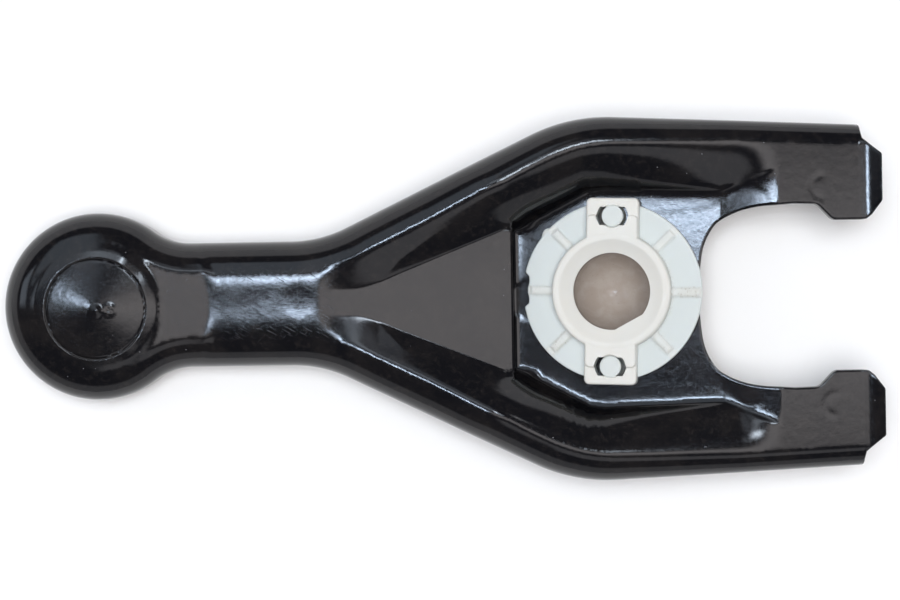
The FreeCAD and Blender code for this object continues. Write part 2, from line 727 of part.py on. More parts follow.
# ---------------------------------------------------------------- place and write
tilt = VAL["pad_angle"]
n = Vector(-math.sin(math.radians(tilt)), 0, math.cos(math.radians(tilt)))
contact = Vector(VAL["socket_x"], VAL["socket_y"],
                 pad_zero.v + pad_slope.v * VAL["socket_x"])
ball = contact + n * VAL["ball_over_pad"]
turned = Rotation(Vector(0, 1, 0), -tilt).multiply(Rotation(Vector(0, 0, 1), VAL["socket_turn"]))
fork.Placement = Placement(ball * -1, Rotation())
socket.Placement = Placement(Vector(0, 0, 0), turned)
liner.Placement = Placement(Vector(0, 0, 0), turned)
doc.recompute()
print("ball centre in the construction frame", ball)

parts = [fork, socket, liner]
for o in doc.Objects:
    bad = [k for k in o.State if k in ("Invalid", "Error")]
    if bad:
        raise RuntimeError("%s is %s" % (o.Name, bad))
for o in parts:
    if o.Shape.isNull() or not o.Shape.isValid():
        raise RuntimeError("%s has no valid shape" % o.Label)
    if len(o.Shape.Solids) != 1:
        raise RuntimeError("%s has %d solids" % (o.Label, len(o.Shape.Solids)))
os.makedirs("parts", exist_ok=True)
for o in parts:
    o.Shape.exportStep("parts/%s.step" % o.Label)
    print(o.Label, round(o.Shape.Volume, 1), o.Shape.BoundBox)
    vs = o.Shape.tessellate(0.2)[0]
    print("   box", [round(min(v[i] for v in vs), 2) for i in range(3)], [round(max(v[i] for v in vs), 2) for i in range(3)])
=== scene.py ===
import math

import bpy
import numpy as np
from mathutils import Matrix, Vector
from mathutils.geometry import delaunay_2d_cdt
from mathutils.kdtree import KDTree


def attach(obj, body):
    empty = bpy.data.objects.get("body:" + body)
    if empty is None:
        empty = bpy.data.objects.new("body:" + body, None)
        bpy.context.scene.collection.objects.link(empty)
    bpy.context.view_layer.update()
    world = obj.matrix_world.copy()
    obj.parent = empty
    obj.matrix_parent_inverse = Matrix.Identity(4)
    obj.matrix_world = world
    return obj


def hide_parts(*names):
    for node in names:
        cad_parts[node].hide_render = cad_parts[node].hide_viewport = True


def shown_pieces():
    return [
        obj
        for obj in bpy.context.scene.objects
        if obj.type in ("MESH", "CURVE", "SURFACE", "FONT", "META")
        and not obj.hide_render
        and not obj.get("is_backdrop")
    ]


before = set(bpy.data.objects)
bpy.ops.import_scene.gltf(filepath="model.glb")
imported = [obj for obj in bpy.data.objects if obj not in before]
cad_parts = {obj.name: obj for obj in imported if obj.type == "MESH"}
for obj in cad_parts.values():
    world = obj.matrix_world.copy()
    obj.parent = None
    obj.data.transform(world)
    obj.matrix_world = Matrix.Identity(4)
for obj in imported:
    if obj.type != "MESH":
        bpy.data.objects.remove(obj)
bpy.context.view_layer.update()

# The lever is worked out in millimetres in its own drawing frame: X along the
# centre line, Y across it, Z up from the surface it lies on. BALL is the centre
# of the ball seat there, which is the row frame's origin.
BALL = np.array([0.5986, 1.57, 15.4885])
PAD_ANGLE = math.radians(9.65)
SHEET = 3.0


def to_row(p):
    return (np.asarray(p, float) - BALL) / 1000.0


# ------------------------------------------------------------------ small tools
def smooth(a, b, x):
    t = np.clip((x - a) / (b - a), 0, 1)
    return t * t * (3 - 2 * t)


def smin(a, b, k):
    h = np.maximum(k - np.abs(a - b), 0) / k
    return np.minimum(a, b) - h * h * k / 4


def softplus(a, e):
    """0 well below zero, a well above it, rounded over about e."""
    return (np.sqrt(a * a + e * e) + a) / 2


def resample(pts, step, closed=False):
    p = np.asarray(pts, float)
    if closed:
        p = np.vstack([p, p[:1]])
    seg = np.hypot(*(p[1:] - p[:-1]).T)
    keep = np.concatenate([[True], seg > 1e-9])
    p = p[keep]
    seg = np.hypot(*(p[1:] - p[:-1]).T)
    s = np.concatenate([[0], np.cumsum(seg)])
    n = max(2, int(round(s[-1] / step)))
    t = np.linspace(0, s[-1], n + 1)
    out = np.column_stack([np.interp(t, s, p[:, 0]), np.interp(t, s, p[:, 1])])
    return out[:-1] if closed else out


def arc(c, r, a0, a1, n):
    t = np.radians(np.linspace(a0, a1, n))
    return np.column_stack([c[0] + r * np.cos(t), c[1] + r * np.sin(t)])


def corner(a, p, b, r, n=24):
    """The tangent arc of radius r at corner p of the path a, p, b."""
    a, p, b = (np.asarray(v, float) for v in (a, p, b))
    u = (a - p) / np.hypot(*(a - p))
    v = (b - p) / np.hypot(*(b - p))
    half = math.acos(np.clip(u @ v, -1, 1)) / 2
    run = r / math.tan(half)
    w = (u + v) / np.hypot(*(u + v))
    c = p + w * (r / math.sin(half))
    t0, t1 = p + u * run, p + v * run
    a0 = math.atan2(*(t0 - c)[::-1])
    a1 = math.atan2(*(t1 - c)[::-1])
    d = (a1 - a0 + math.pi) % (2 * math.pi) - math.pi
    t = a0 + d * np.linspace(0, 1, n)
    return np.column_stack([c[0] + r * np.cos(t), c[1] + r * np.sin(t)])


TREES = {}


def tree_distance(P, poly, closed):
    """The same for a finely divided path, through its nearest corner."""
    if id(poly) not in TREES:
        t = KDTree(len(poly))
        for i, (x, y) in enumerate(poly):
            t.insert((x, y, 0), i)
        t.balance()
        TREES[id(poly)] = (t, poly)
    t = TREES[id(poly)][0]
    at = np.array([t.find((x, y, 0))[1] for x, y in P])
    q, n = np.asarray(poly, float), len(poly)
    best = np.full(len(P), 1e9)
    for step in (-1, 1):
        nb = (at + step) % n if closed else np.clip(at + step, 0, n - 1)
        a, b = q[at], q[nb]
        ab = b - a
        t_ = np.clip(((P - a) * ab).sum(1) / np.maximum((ab * ab).sum(1), 1e-12), 0, 1)
        best = np.minimum(best, np.hypot(*(P - a - ab * t_[:, None]).T))
    return best


def poly_distance(P, poly, closed=False):
    """Distance of each point in P to a polyline."""
    if len(poly) > 230 and len(P):
        return tree_distance(P, poly, closed)
    q = np.asarray(poly, float)
    if closed:
        q = np.vstack([q, q[:1]])
    a, b = q[:-1], q[1:]
    ab = b - a
    l2 = np.maximum((ab * ab).sum(1), 1e-12)
    out = np.empty(len(P))
    for i in range(0, len(P), 3000):
        p = P[i : i + 3000]
        ap = p[:, None, :] - a[None]
        t = np.clip((ap * ab).sum(2) / l2, 0, 1)
        d = ap - ab * t[..., None]
        out[i : i + 3000] = np.sqrt((d * d).sum(2).min(1))
    return out


def inside(P, poly):
    q = np.asarray(poly, float)
    x, y = P[:, 0], P[:, 1]
    c = np.zeros(len(P), bool)
    for (x0, y0), (x1, y1) in zip(q, np.roll(q, -1, 0)):
        if y0 == y1:
            continue
        hit = (y0 > y) != (y1 > y)
        c ^= hit & (x < (x1 - x0) * (y - y0) / (y1 - y0) + x0)
    return c


def signed(P, poly):
    """Distance to a closed outline, negative inside it."""
    d = poly_distance(P, poly, True)
    return np.where(inside(P, poly), -d, d)


def offset_rows(path, offs, step, closed=False):
    """Points along a path and beside it at each distance, positive to its left."""
    p = resample(path, step, closed)
    if closed:
        t = np.roll(p, -1, 0) - np.roll(p, 1, 0)
    else:
        t = np.gradient(p, axis=0)
    t /= np.maximum(np.hypot(*t.T), 1e-9)[:, None]
    n = np.column_stack([-t[:, 1], t[:, 0]])
    return np.vstack([p + n * o for o in offs])


def hexes(x0, x1, y0, y1, s):
    ys = np.arange(y0, y1, s * 0.866)
    rows = []
    for i, y in enumerate(ys):
        xs = np.arange(x0 + (s / 2 if i % 2 else 0), x1, s)
        rows.append(np.column_stack([xs, np.full(len(xs), y)]))
    return np.vstack(rows)


def thin_out(first, second, gap):
    """Points of second that are at least gap from every point of first."""
    cell = {}
    for i, (x, y) in enumerate(first):
        cell.setdefault((int(x // gap), int(y // gap)), []).append(i)
    ok = np.ones(len(second), bool)
    g2 = gap * gap
    for k, (x, y) in enumerate(second):
        cx, cy = int(x // gap), int(y // gap)
        for ix in (cx - 1, cx, cx + 1):
            for iy in (cy - 1, cy, cy + 1):
                for i in cell.get((ix, iy), ()):
                    dx, dy = first[i][0] - x, first[i][1] - y
                    if dx * dx + dy * dy < g2:
                        ok[k] = False
                        break
                if not ok[k]:
                    break
            if not ok[k]:
                break
    return second[ok]


def spread(points, gap):
    """Drops points that lie within gap of an earlier one."""
    seen, out = set(), []
    for x, y in points:
        k = (int(round(x / gap)), int(round(y / gap)))
        if k in seen:
            continue
        seen.add(k)
        out.append((x, y))
    return np.array(out)


def triangulate(loops, inner):
    """Triangles over a region. loops[0] is its outline and the rest are holes; the
    first points of the answer are the loops' own points, in order."""
    ring = np.vstack(loops)
    edges, at = [], 0
    for l in loops:
        n = len(l)
        edges += [(at + i, at + (i + 1) % n) for i in range(n)]
        at += n
    P = np.vstack([ring, inner])
    res = delaunay_2d_cdt([Vector(p) for p in P], edges, [], 1, 1e-6, True)
    verts = np.array([tuple(v) for v in res[0]])
    tris = np.array([f for f in res[2] if len(f) == 3], int)
    where = np.full(len(P), -1)
    for i, ids in enumerate(res[3]):
        for j in ids:
            where[j] = i
    c = verts[tris].mean(1)
    keep = inside(c, loops[0])
    for l in loops[1:]:
        keep &= ~inside(c, l)
    tris = tris[keep]
    return verts, tris, where[: len(ring)]


def face_up(verts, tris, up=True):
    a, b, c = (verts[tris[:, i]] for i in range(3))
    s = (b[:, 0] - a[:, 0]) * (c[:, 1] - a[:, 1]) - (b[:, 1] - a[:, 1]) * (c[:, 0] - a[:, 0])
    flip = (s < 0) if up else (s > 0)
    t = tris.copy()
    t[flip] = t[flip][:, ::-1]
    return t


def make(name, verts_mm, faces, material, transform=None, sharp=40.0):
    v = np.asarray(verts_mm, float)
    if transform is not None:
        v = v @ transform[0].T + transform[1]
    else:
        v = to_row(v)
    me = bpy.data.meshes.new(name)
    me.from_pydata([tuple(p) for p in v], [], [tuple(int(i) for i in f) for f in faces])
    me.validate()
    me.update()
    for p in me.polygons:
        p.use_smooth = True
    me.set_sharp_from_angle(angle=math.radians(sharp))
    ob = bpy.data.objects.new(name, me)
    bpy.context.scene.collection.objects.link(ob)
    ob.data.materials.append(material)
    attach(ob, "root")
    return ob


# ------------------------------------------------------------------ materials
class Nodes:
    """A short way to write node networks."""

    def __init__(self, tree):
        self.t = tree
        self.x = 0

    def new(self, kind, **kw):
        n = self.t.nodes.new(kind)
        n.location = (self.x, 0)
        self.x += 180
        for k, v in kw.items():
            setattr(n, k, v)
        return n

    def put(self, socket, value):
        if isinstance(value, bpy.types.NodeSocket):
            self.t.links.new(value, socket)
        elif value is not None:
            socket.default_value = value

    def math(self, op, a, b=None, c=None, clamp=False):
        n = self.new("ShaderNodeMath", operation=op, use_clamp=clamp)
        for s, v in zip(n.inputs, (a, b, c)):
            self.put(s, v)
        return n.outputs[0]

    def ramp(self, x, a, b, lo=0.0, hi=1.0, kind="SMOOTHSTEP"):
        n = self.new("ShaderNodeMapRange", interpolation_type=kind)
        self.put(n.inputs["Value"], x)
        n.inputs["From Min"].default_value = a
        n.inputs["From Max"].default_value = b
        n.inputs["To Min"].default_value = lo
        n.inputs["To Max"].default_value = hi
        return n.outputs["Result"]

    def noise(self, co, scale, detail=3.0, rough=0.5, distort=0.0):
        n = self.new("ShaderNodeTexNoise")
        self.put(n.inputs["Vector"], co)
        n.inputs["Scale"].default_value = scale
        n.inputs["Detail"].default_value = detail
        n.inputs["Roughness"].default_value = rough
        n.inputs["Distortion"].default_value = distort
        return n.outputs["Fac"]

    def mapping(self, co, loc=(0, 0, 0), rot=(0, 0, 0), scale=(1, 1, 1)):
        n = self.new("ShaderNodeMapping")
        self.put(n.inputs["Vector"], co)
        n.inputs["Location"].default_value = loc
        n.inputs["Rotation"].default_value = rot
        n.inputs["Scale"].default_value = scale
        return n.outputs["Vector"]

    def mix(self, f, a, b):
        n = self.new("ShaderNodeMix", data_type="RGBA")
        self.put(n.inputs[0], f)
        self.put(n.inputs[6], a)
        self.put(n.inputs[7], b)
        return n.outputs[2]

    def window(self, x, a, b, soft):
        """1 between a and b, 0 outside, with soft edges."""
        return self.math("MULTIPLY", self.ramp(x, a - soft, a + soft), self.ramp(x, b - soft, b + soft, 1.0, 0.0))


def material(name):
    m = bpy.data.materials.new(name)
    m.use_nodes = True
    m.node_tree.nodes.clear()
    n = Nodes(m.node_tree)
    out = n.new("ShaderNodeOutputMaterial")
    bsdf = n.new("ShaderNodeBsdfPrincipled")
    m.node_tree.links.new(bsdf.outputs[0], out.inputs[0])
    co = n.new("ShaderNodeTexCoord").outputs["Object"]
    return m, n, bsdf, co


def lever_paint():
    m, n, bsdf, co = material("lever_paint")
    # co is in metres; mm is handy for scales
    mm = n.mapping(co, scale=(1000, 1000, 1000))
    peel = n.noise(mm, 0.55, 2.0, 0.5)
    fine = n.noise(mm, 4.5, 3.0, 0.6)
    grit = n.noise(mm, 1.7, 6.0, 0.75)
    dust = n.noise(mm, 0.09, 4.0, 0.6, 0.4)
    # a few stray fibres and rubbed scratches along the neck
    def strokes(angle, length, width, thr, seed):
        v = n.mapping(mm, loc=(seed, seed * 0.37, 0), rot=(0, 0, angle))
        v = n.mapping(v, scale=(1 / length, 1 / width, 0.15))
        return n.ramp(n.noise(v, 1.0, 2.0, 0.4), thr, thr + 0.04)
    s1 = strokes(0.50, 3.2, 0.16, 0.66, 3.1)
    s2 = strokes(-0.75, 2.2, 0.15, 0.68, 11.7)
    sep = n.new("ShaderNodeSeparateXYZ")
    n.put(sep.inputs[0], mm)
    x, y = sep.outputs[0], sep.outputs[1]
    neck = n.math("MULTIPLY", n.window(x, -86.0, -62.0, 4.0), n.window(y, -9.5, 6.5, 2.0))
    scr = n.math("MULTIPLY", n.math("MAXIMUM", s1, s2), neck)
    specks = n.new("ShaderNodeTexVoronoi", feature="F1")
    n.put(specks.inputs["Vector"], mm)
    specks.inputs["Scale"].default_value = 0.3
    keep = n.new("ShaderNodeSeparateXYZ")
    n.put(keep.inputs[0], specks.outputs["Color"])
    spot = n.math("MULTIPLY", n.ramp(specks.outputs["Distance"], 0.025, 0.05, 1.0, 0.0),
                  n.ramp(keep.outputs[0], 0.55, 0.6))
    base = n.mix(n.ramp(dust, 0.42, 0.72), (0.0028, 0.0028, 0.0036, 1), (0.0085, 0.0074, 0.0072, 1))
    film = n.noise(mm, 0.7, 6.0, 0.72, 0.6)
    base = n.mix(n.ramp(film, 0.48, 0.78, 0.0, 0.8), base, (0.021, 0.0175, 0.016, 1))
    base = n.mix(n.math("MULTIPLY", scr, 0.13), base, (0.22, 0.23, 0.26, 1))
    base = n.mix(n.math("MULTIPLY", spot, 0.4), base, (0.34, 0.34, 0.36, 1))
    n.put(bsdf.inputs["Base Color"], base)
    rough = n.math("ADD", n.ramp(grit, 0.35, 0.75, 0.07, 0.15), n.math("MULTIPLY", scr, 0.15))
    n.put(bsdf.inputs["Roughness"], rough)
    bsdf.inputs["IOR"].default_value = 1.5
    b1 = n.new("ShaderNodeBump")
    b1.inputs["Strength"].default_value = 0.55
    b1.inputs["Distance"].default_value = 0.00002
    h = n.math("ADD", n.math("MULTIPLY", peel, 0.9), n.math("MULTIPLY", fine, 0.28))
    h = n.math("ADD", h, n.math("MULTIPLY", grit, 0.22))
    h = n.math("ADD", h, n.math("MULTIPLY", scr, -0.3))
    h = n.math("ADD", h, n.math("MULTIPLY", spot, 1.2))
    n.put(b1.inputs["Height"], h)
    n.put(bsdf.inputs["Normal"], b1.outputs[0])
    return m


def socket_plastic():
    m, n, bsdf, co = material("socket_plastic")
    mm = n.mapping(co, scale=(1000, 1000, 1000))
    at = n.new("ShaderNodeAttribute", attribute_name="warmth")
    big = n.noise(mm, 0.12, 3.0, 0.5)
    fine = n.noise(mm, 3.2, 4.0, 0.6)
    base = n.mix(at.outputs["Fac"], (0.60, 0.645, 0.635, 1), (0.70, 0.685, 0.635, 1))
    base = n.mix(n.ramp(big, 0.35, 0.75, 0.0, 0.22), base, (0.645, 0.67, 0.65, 1))
    # brown grime flecks in the corners, and a soft painted shade along the hub's foot and the ribs' feet
    grime_shade_mask = n.new("ShaderNodeAttribute", attribute_name="grime_and_shade")
    fleck = n.ramp(n.noise(mm, 1.9, 5.0, 0.8), 0.52, 0.66)
    g = n.math("MULTIPLY", grime_shade_mask.outputs["Fac"], fleck)
    base = n.mix(n.math("MULTIPLY", g, 0.75), base, (0.21, 0.155, 0.11, 1))
    # the unflecked part is painted shade: an even darkening over the whole mask
    soft = n.math("MULTIPLY", grime_shade_mask.outputs["Fac"], 0.16)
    base = n.mix(soft, base, (0.55, 0.50, 0.40, 1))
    n.put(bsdf.inputs["Base Color"], base)
    n.put(bsdf.inputs["Roughness"], n.ramp(fine, 0.3, 0.7, 0.36, 0.5))
    bsdf.inputs["IOR"].default_value = 1.5
    bsdf.inputs["Subsurface Weight"].default_value = 0.25
    bsdf.inputs["Subsurface Radius"].default_value = (1.0, 0.9, 0.75)
    bsdf.inputs["Subsurface Scale"].default_value = 0.0012
    b = n.new("ShaderNodeBump")
    b.inputs["Strength"].default_value = 0.25
    b.inputs["Distance"].default_value = 0.00004
    n.put(b.inputs["Height"], fine)
    n.put(bsdf.inputs["Normal"], b.outputs[0])
    return m


def liner_plastic():
    m, n, bsdf, co = material("liner_plastic")
    mm = n.mapping(co, scale=(1000, 1000, 1000))
    cloud = n.noise(mm, 0.28, 4.0, 0.6, 0.5)
    fine = n.noise(mm, 1.6, 5.0, 0.65)
    base = n.mix(n.ramp(cloud, 0.35, 0.7), (0.345, 0.293, 0.252, 1), (0.395, 0.347, 0.305, 1))
    base = n.mix(n.ramp(fine, 0.60, 0.72, 0.0, 0.3), base, (0.14, 0.11, 0.10, 1))
    n.put(bsdf.inputs["Base Color"], base)
    n.put(bsdf.inputs["Roughness"], n.ramp(fine, 0.3, 0.7, 0.07, 0.13))
    bsdf.inputs["IOR"].default_value = 1.48
    b = n.new("ShaderNodeBump")
    b.inputs["Strength"].default_value = 0.35
    b.inputs["Distance"].default_value = 0.00003
    n.put(b.inputs["Height"], n.math("ADD", n.math("MULTIPLY", cloud, 1.5), fine))
    n.put(bsdf.inputs["Normal"], b.outputs[0])
    return m


def floor_material():
    m, n, bsdf, co = material("pale_floor")
    soft = n.noise(co, 3.0, 2.0, 0.5)
    n.put(bsdf.inputs["Base Color"], n.mix(n.ramp(soft, 0.3, 0.7), (0.925, 0.915, 0.90, 1), (0.935, 0.925, 0.912, 1)))
    bsdf.inputs["Roughness"].default_value = 0.9
    bsdf.inputs["Specular IOR Level"].default_value = 0.0
    return m


PAINT = lever_paint()
WHITE = socket_plastic()
TAN = liner_plastic()

# ------------------------------------------------------------------ lever: plan
BOSS = np.array([-113.71, 0.0])
BOSS_R = 20.85
NECK = 13.85
TIP_X = 54.8
F_TOP = 20.62
WEB = 16.04


def side_path():
    """The lever's outer edge from the finger's end to the far side of the boss."""
    tip, sh, fl = (TIP_X, 37.4), (-8.39, 40.48), (-63.9, NECK)
    f = 13.7
    dx = math.sqrt((BOSS_R + f) ** 2 - (NECK + f) ** 2)
    fc = (BOSS[0] + dx, NECK + f)
    a_line = -90.0
    a_boss = math.degrees(math.atan2(BOSS[1] - fc[1], BOSS[0] - fc[0]))
    start = math.degrees(math.atan2(fc[1] - BOSS[1], fc[0] - BOSS[0]))
    p = [np.array([tip])]
    p.append(corner(tip, sh, fl, 37.0, 60))
    p.append(corner(sh, fl, (fc[0], NECK), 28.6, 40))
    p.append(arc(fc, f, a_line, a_boss % 360 - 360 if a_boss > 0 else a_boss, 40))
    p.append(arc(BOSS, BOSS_R, start, 180, 90))
    return np.vstack(p)


half_path = resample(side_path(), 0.45)
N_SIDE = len(half_path)
side = np.vstack([half_path, (half_path * [1, -1])[-2::-1]])  # finger end, round the boss, other finger end

# finger end, lip, hook and half of the gap, from the outer edge inwards
END_HALF = [
    (54.95, 35.6), (55.2, 34.2), (59.25, 30.7), (59.25, 20.5), (57.15, 17.6), (55.9, 16.55),
    (54.8, 16.4), (49.0, 16.4), (48.2, 16.8), (45.6, 19.5), (44.8, 19.95), (40.0, 20.1), (36.5, 19.85), (33.0, 19.62),
    (29.6, 19.0), (26.9, 18.05), (25.1, 17.15), (23.3, 15.9), (21.9, 13.9), (21.05, 12.2), (20.35, 9.9),
    (19.9, 6.8), (19.65, 3.4), (19.55, 0.0),
]


def rounded_path(pts, radii, n=8):
    out = [np.array([pts[0]])]
    for i in range(1, len(pts) - 1):
        r = radii[i]
        out.append(corner(pts[i - 1], pts[i], pts[i + 1], r, n) if r > 0 else np.array([pts[i]]))
    out.append(np.array([pts[-1]]))
    return np.vstack(out)


def smooth_curve(pts, n=10):
    """A curve through points (Catmull-Rom)."""
    p = np.asarray(pts, float)
    q = np.vstack([2 * p[0] - p[1], p, 2 * p[-1] - p[-2]])
    out = []
    for i in range(1, len(q) - 2):
        for t in np.linspace(0, 1, n, endpoint=False):
            a, b, c, d = q[i - 1], q[i], q[i + 1], q[i + 2]
            out.append(0.5 * (2 * b + (c - a) * t + (2 * a - 5 * b + 4 * c - d) * t * t + (3 * b - a - 3 * c + d) * t ** 3))
    out.append(p[-1])
    return np.array(out)


straight = rounded_path([(TIP_X, 37.4)] + END_HALF[:12], [0, 0.3, 0.2, 0.5, 0.9, 0.8, 0.6, 0, 0.5, 0.5, 0.4, 0.5, 0])
curved = smooth_curve([(40.0, 20.1)] + END_HALF[12:] + [(19.65, -3.4)])
curved = curved[curved[:, 1] > -1e-6]
end_half = resample(np.vstack([straight, curved]), 0.4)[1:]
end_all = np.vstack([end_half, (end_half * [1, -1])[-2::-1]])  # ends just before the lower finger's edge

# the loop: upper finger edge -> boss -> lower finger edge -> lower end -> gap -> upper end
lower_to_upper = (end_all * [1, -1])
LOOP = np.vstack([side, lower_to_upper])
NS = len(side)
NL = len(LOOP)

HOLE_C = np.array([0.85, 1.57])
hole = np.column_stack([0.85 + 12.3 * math.cos(PAD_ANGLE) * np.cos(np.linspace(0, 2 * np.pi, 120, endpoint=False)),
                        1.57 + 12.3 * np.sin(np.linspace(0, 2 * np.pi, 120, endpoint=False))])
post_holes = [np.column_stack([0.85 + 3.1 * np.cos(t), 1.57 + s * 16.5 + 3.1 * np.sin(t)])
              for s in (1, -1) for t in [np.linspace(0, 2 * np.pi, 40, endpoint=False)]]

# plan shapes of the pressed features
PLATEAU_TOP = smooth_curve([(-63.0, 0.0), (-62.85, 1.6), (-61.9, 2.65), (-59.0, 2.85), (-55.0, 3.15), (-50.6, 4.5),
                            (-46.2, 6.35), (-38.0, 9.65), (-30.0, 12.85), (-21.3, 16.35), (-12.0, 20.1)], 6)
PLATEAU = np.vstack([PLATEAU_TOP, (PLATEAU_TOP * [1, -1])[::-1][:-1]])
LOW = [(-20.95, 15.3), (-4.6, 23.9), (-1.5, 24.3), (24.2, 23.3), (37.0, 28.6)]
LOW_AREA = np.array(LOW + [(70.0, 29.4), (70.0, -29.4)] + [(x, -y) for x, y in LOW[::-1]])
STEP_X = -21.3


def edge_radius(x):
    return np.interp(x, [-135, -106, -93, -60, -40, -10, 8, 28, 60], [6.4, 6.5, 7.0, 7.0, 7.3, 6.6, 5.4, 4.5, 4.4])


def crest(x, y):
    bend = -88.2 - y * y / 33.9
    z = 14.1 + 0.08 * softplus(x - bend, 0.5)
    return smin(z, np.full_like(z, F_TOP), 0.35)


def bump(x, y, cx, cy, r, h):
    q = np.clip(1 - ((x - cx) ** 2 + (y - cy) ** 2) / (r * r), 0, 1)
    return h * q * q * (3 - 2 * q)


def top0(P, d):
    """Height of the lever's upper face, before the rolled outer edge."""
    x, y = P[:, 0], P[:, 1]
    ay = np.abs(y)
    zc = crest(x, y)
    # the neck's cross-section is crowned
    crown = smooth(0.0, 3.0, x - (-88.2 - y * y / 33.9)) * smooth(-52.0, -66.0, x)
    zc = zc - crown * (0.0004 * y * y + 6.0e-5 * np.minimum(np.abs(y), 8.0) ** 4)
    zc = zc + crown * (bump(x, y, -68.5, 0.6, 4.2, -0.022) + bump(x, y, -74.0, -2.4, 5.0, 0.012))
    R = edge_radius(x)
    u = np.maximum(d - R - 0.1, 0)
    # left of the pad: slope from the rail's crest down to the flat triangle
    a = np.maximum(signed(P, PLATEAU), 0)
    q = a / np.maximum(a + u, 1e-6)
    w = 1 - q
    wb = np.interp(x, [-51.0, -46.0, -40.0, -34.0, -21.0], [1.0, 0.62, 0.48, 0.40, 0.40])
    slope_sum = lambda t: t - 0.09 * (1 - np.exp(-t / 0.09)) + 0.95 * softplus(t - wb, 0.03)
    S = 1 - (slope_sum(w) - slope_sum(0 * w)) / (slope_sum(0 * w + 1) - slope_sum(0 * w))
    deep = softplus(zc - WEB, 0.08)
    soft_foot = softplus(a - 0.25, 0.35) / np.maximum(a, 0.02)
    left = zc - deep * (1 - S * np.clip(soft_foot, 0, 1))
    # right of it: slope down to the steep wall of the pad
    W = 0.5 * (u - 3.0 * (1 - np.exp(-u / 3.0)))
    fade = 1 - 0.5 * smooth(0.0, 28.0, x) - 0.5 * smooth(27.0, 37.5, x)
    upper = zc - W * fade
    lowest = np.where(x < 24.2, 13.87 + 0.17 * x, F_TOP - T(x) + np.where(y > 0, 0.0055, 0.0013) * np.maximum(ay - 21.6, 0) ** 2 * smooth(24.2, 28.0, x) * smooth(37.0, 32.5, x))
    lowest = np.minimum(lowest, F_TOP)
    al = signed(P, LOW_AREA)
    # the lower wall's foot is rough with paint runs
    al = al + (y < 0) * smooth(-13.0, -10.0, x) * smooth(1.0, -2.0, x) * (0.05 * np.sin(2.9 * x) + 0.06 * np.sin(5.3 * x + 1) + 0.04 * np.sin(9.1 * x))
    wall = 2.0 * softplus(al, 0.36)
    rise = softplus(upper - lowest, 0.1)
    right = lowest + rise * wall / np.maximum(rise ** 3 + wall ** 3, 1e-12) ** (1 / 3)
    right = right + (np.minimum(right, np.maximum(upper, lowest)) - right) * smooth(24.2, 28.5, x)
    right = np.where(x > 37.0, upper, right)
    # the flat triangle ends in an upright step down to the pad
    beside = smooth(15.4, 17.6, ay)
    f = smooth(STEP_X - 0.03, STEP_X + 0.35, x) * (1 - beside) + smooth(-27.0, -15.0, x) * beside
    roll = 0.08 * smooth(STEP_X - 0.45, STEP_X, x) * (1 - beside)
    z = (left - roll) * (1 - f) + right * f
    # boss: raised rim and shallow cone
    rho = np.hypot(x + 113.5, y + 0.50)
    cone = 1.02 - 0.061 * rho
    away = smooth(0.82, 0.45, (x + 113.5) / np.maximum(rho, 1e-3))
    rim = 0.10 * softplus(13.3 - rho, 0.3) + 0.26 * (softplus(14.5 - rho, 0.3) - softplus(13.3 - rho, 0.3))
    rim = rim + away * np.interp(rho, [13.4, 14.0, 14.5, 15.0, 15.5, 16.0, 16.5, 17.0], [0.235, 0.225, 0.195, 0.135, 0.08, 0.038, 0.01, 0.0])
    inner = smooth(11.3, 10.9, rho)
    z = z + rim * (1 - inner) + inner * cone
    z = z - 0.10 * np.exp(-((rho - 10.95) / 0.16) ** 2)
    z = z + bump(x, y, -113.2, -1.0, 1.3, 0.26) + bump(x, y, -110.4, -0.8, 1.55, 0.16) - bump(x, y, -110.4, -0.8, 0.95, 0.2)
    z = z + bump(x, y, -110.15, -0.2, 0.5, 0.1) + bump(x, y, -110.75, -1.35, 0.5, 0.12)
    # bent-up lips
    lip = 0.466 * softplus(x - 56.5, 2.2)
    z = z + np.where(x > 50, lip - 0.466 * softplus(-6.5 + 0 * x, 2.2), 0)
    # light coining beside the hooks
    z = z - 0.045 * np.exp(-((x - 54.4) / 0.55) ** 2)
    for cx, cy, s in ((45.2, 23.6, 1), (47.4, -23.8, -1)):
        r = np.hypot(x - cx - 1.2, y - cy)
        ang = np.degrees(np.arctan2((y - cy) * s, x - cx - 1.2))
        z = z - 0.03 * np.exp(-((r - 2.4) / 0.5) ** 2) * smooth(60, 110, np.abs(ang))
    return z


def T(x):
    """How far the ramp behind the pad is below the finger."""
    t = np.clip(37.0 - x, 0, 12.8)
    return 0.17 * t + 0.049 * (t - 3.5 * (1 - np.exp(-t / 3.5)))


def roll_over(R, d):
    """Drop of a rolled edge of radius R at distance d from its outside."""
    g = np.clip(R - d, 0, R)
    return R - np.sqrt(np.maximum(R * R - g * g, 0))


open_edge = np.vstack([side[-1:], lower_to_upper, side[:1]])


def top_height(P):
    d = poly_distance(P, side)
    z = top0(P, d) - roll_over(edge_radius(P[:, 0]), d)
    e = 0.3
    do = poly_distance(P, open_edge)
    near = smooth(0.0, 2.0, d)
    z = z - roll_over(np.full(len(P), e), do) * near
    return z


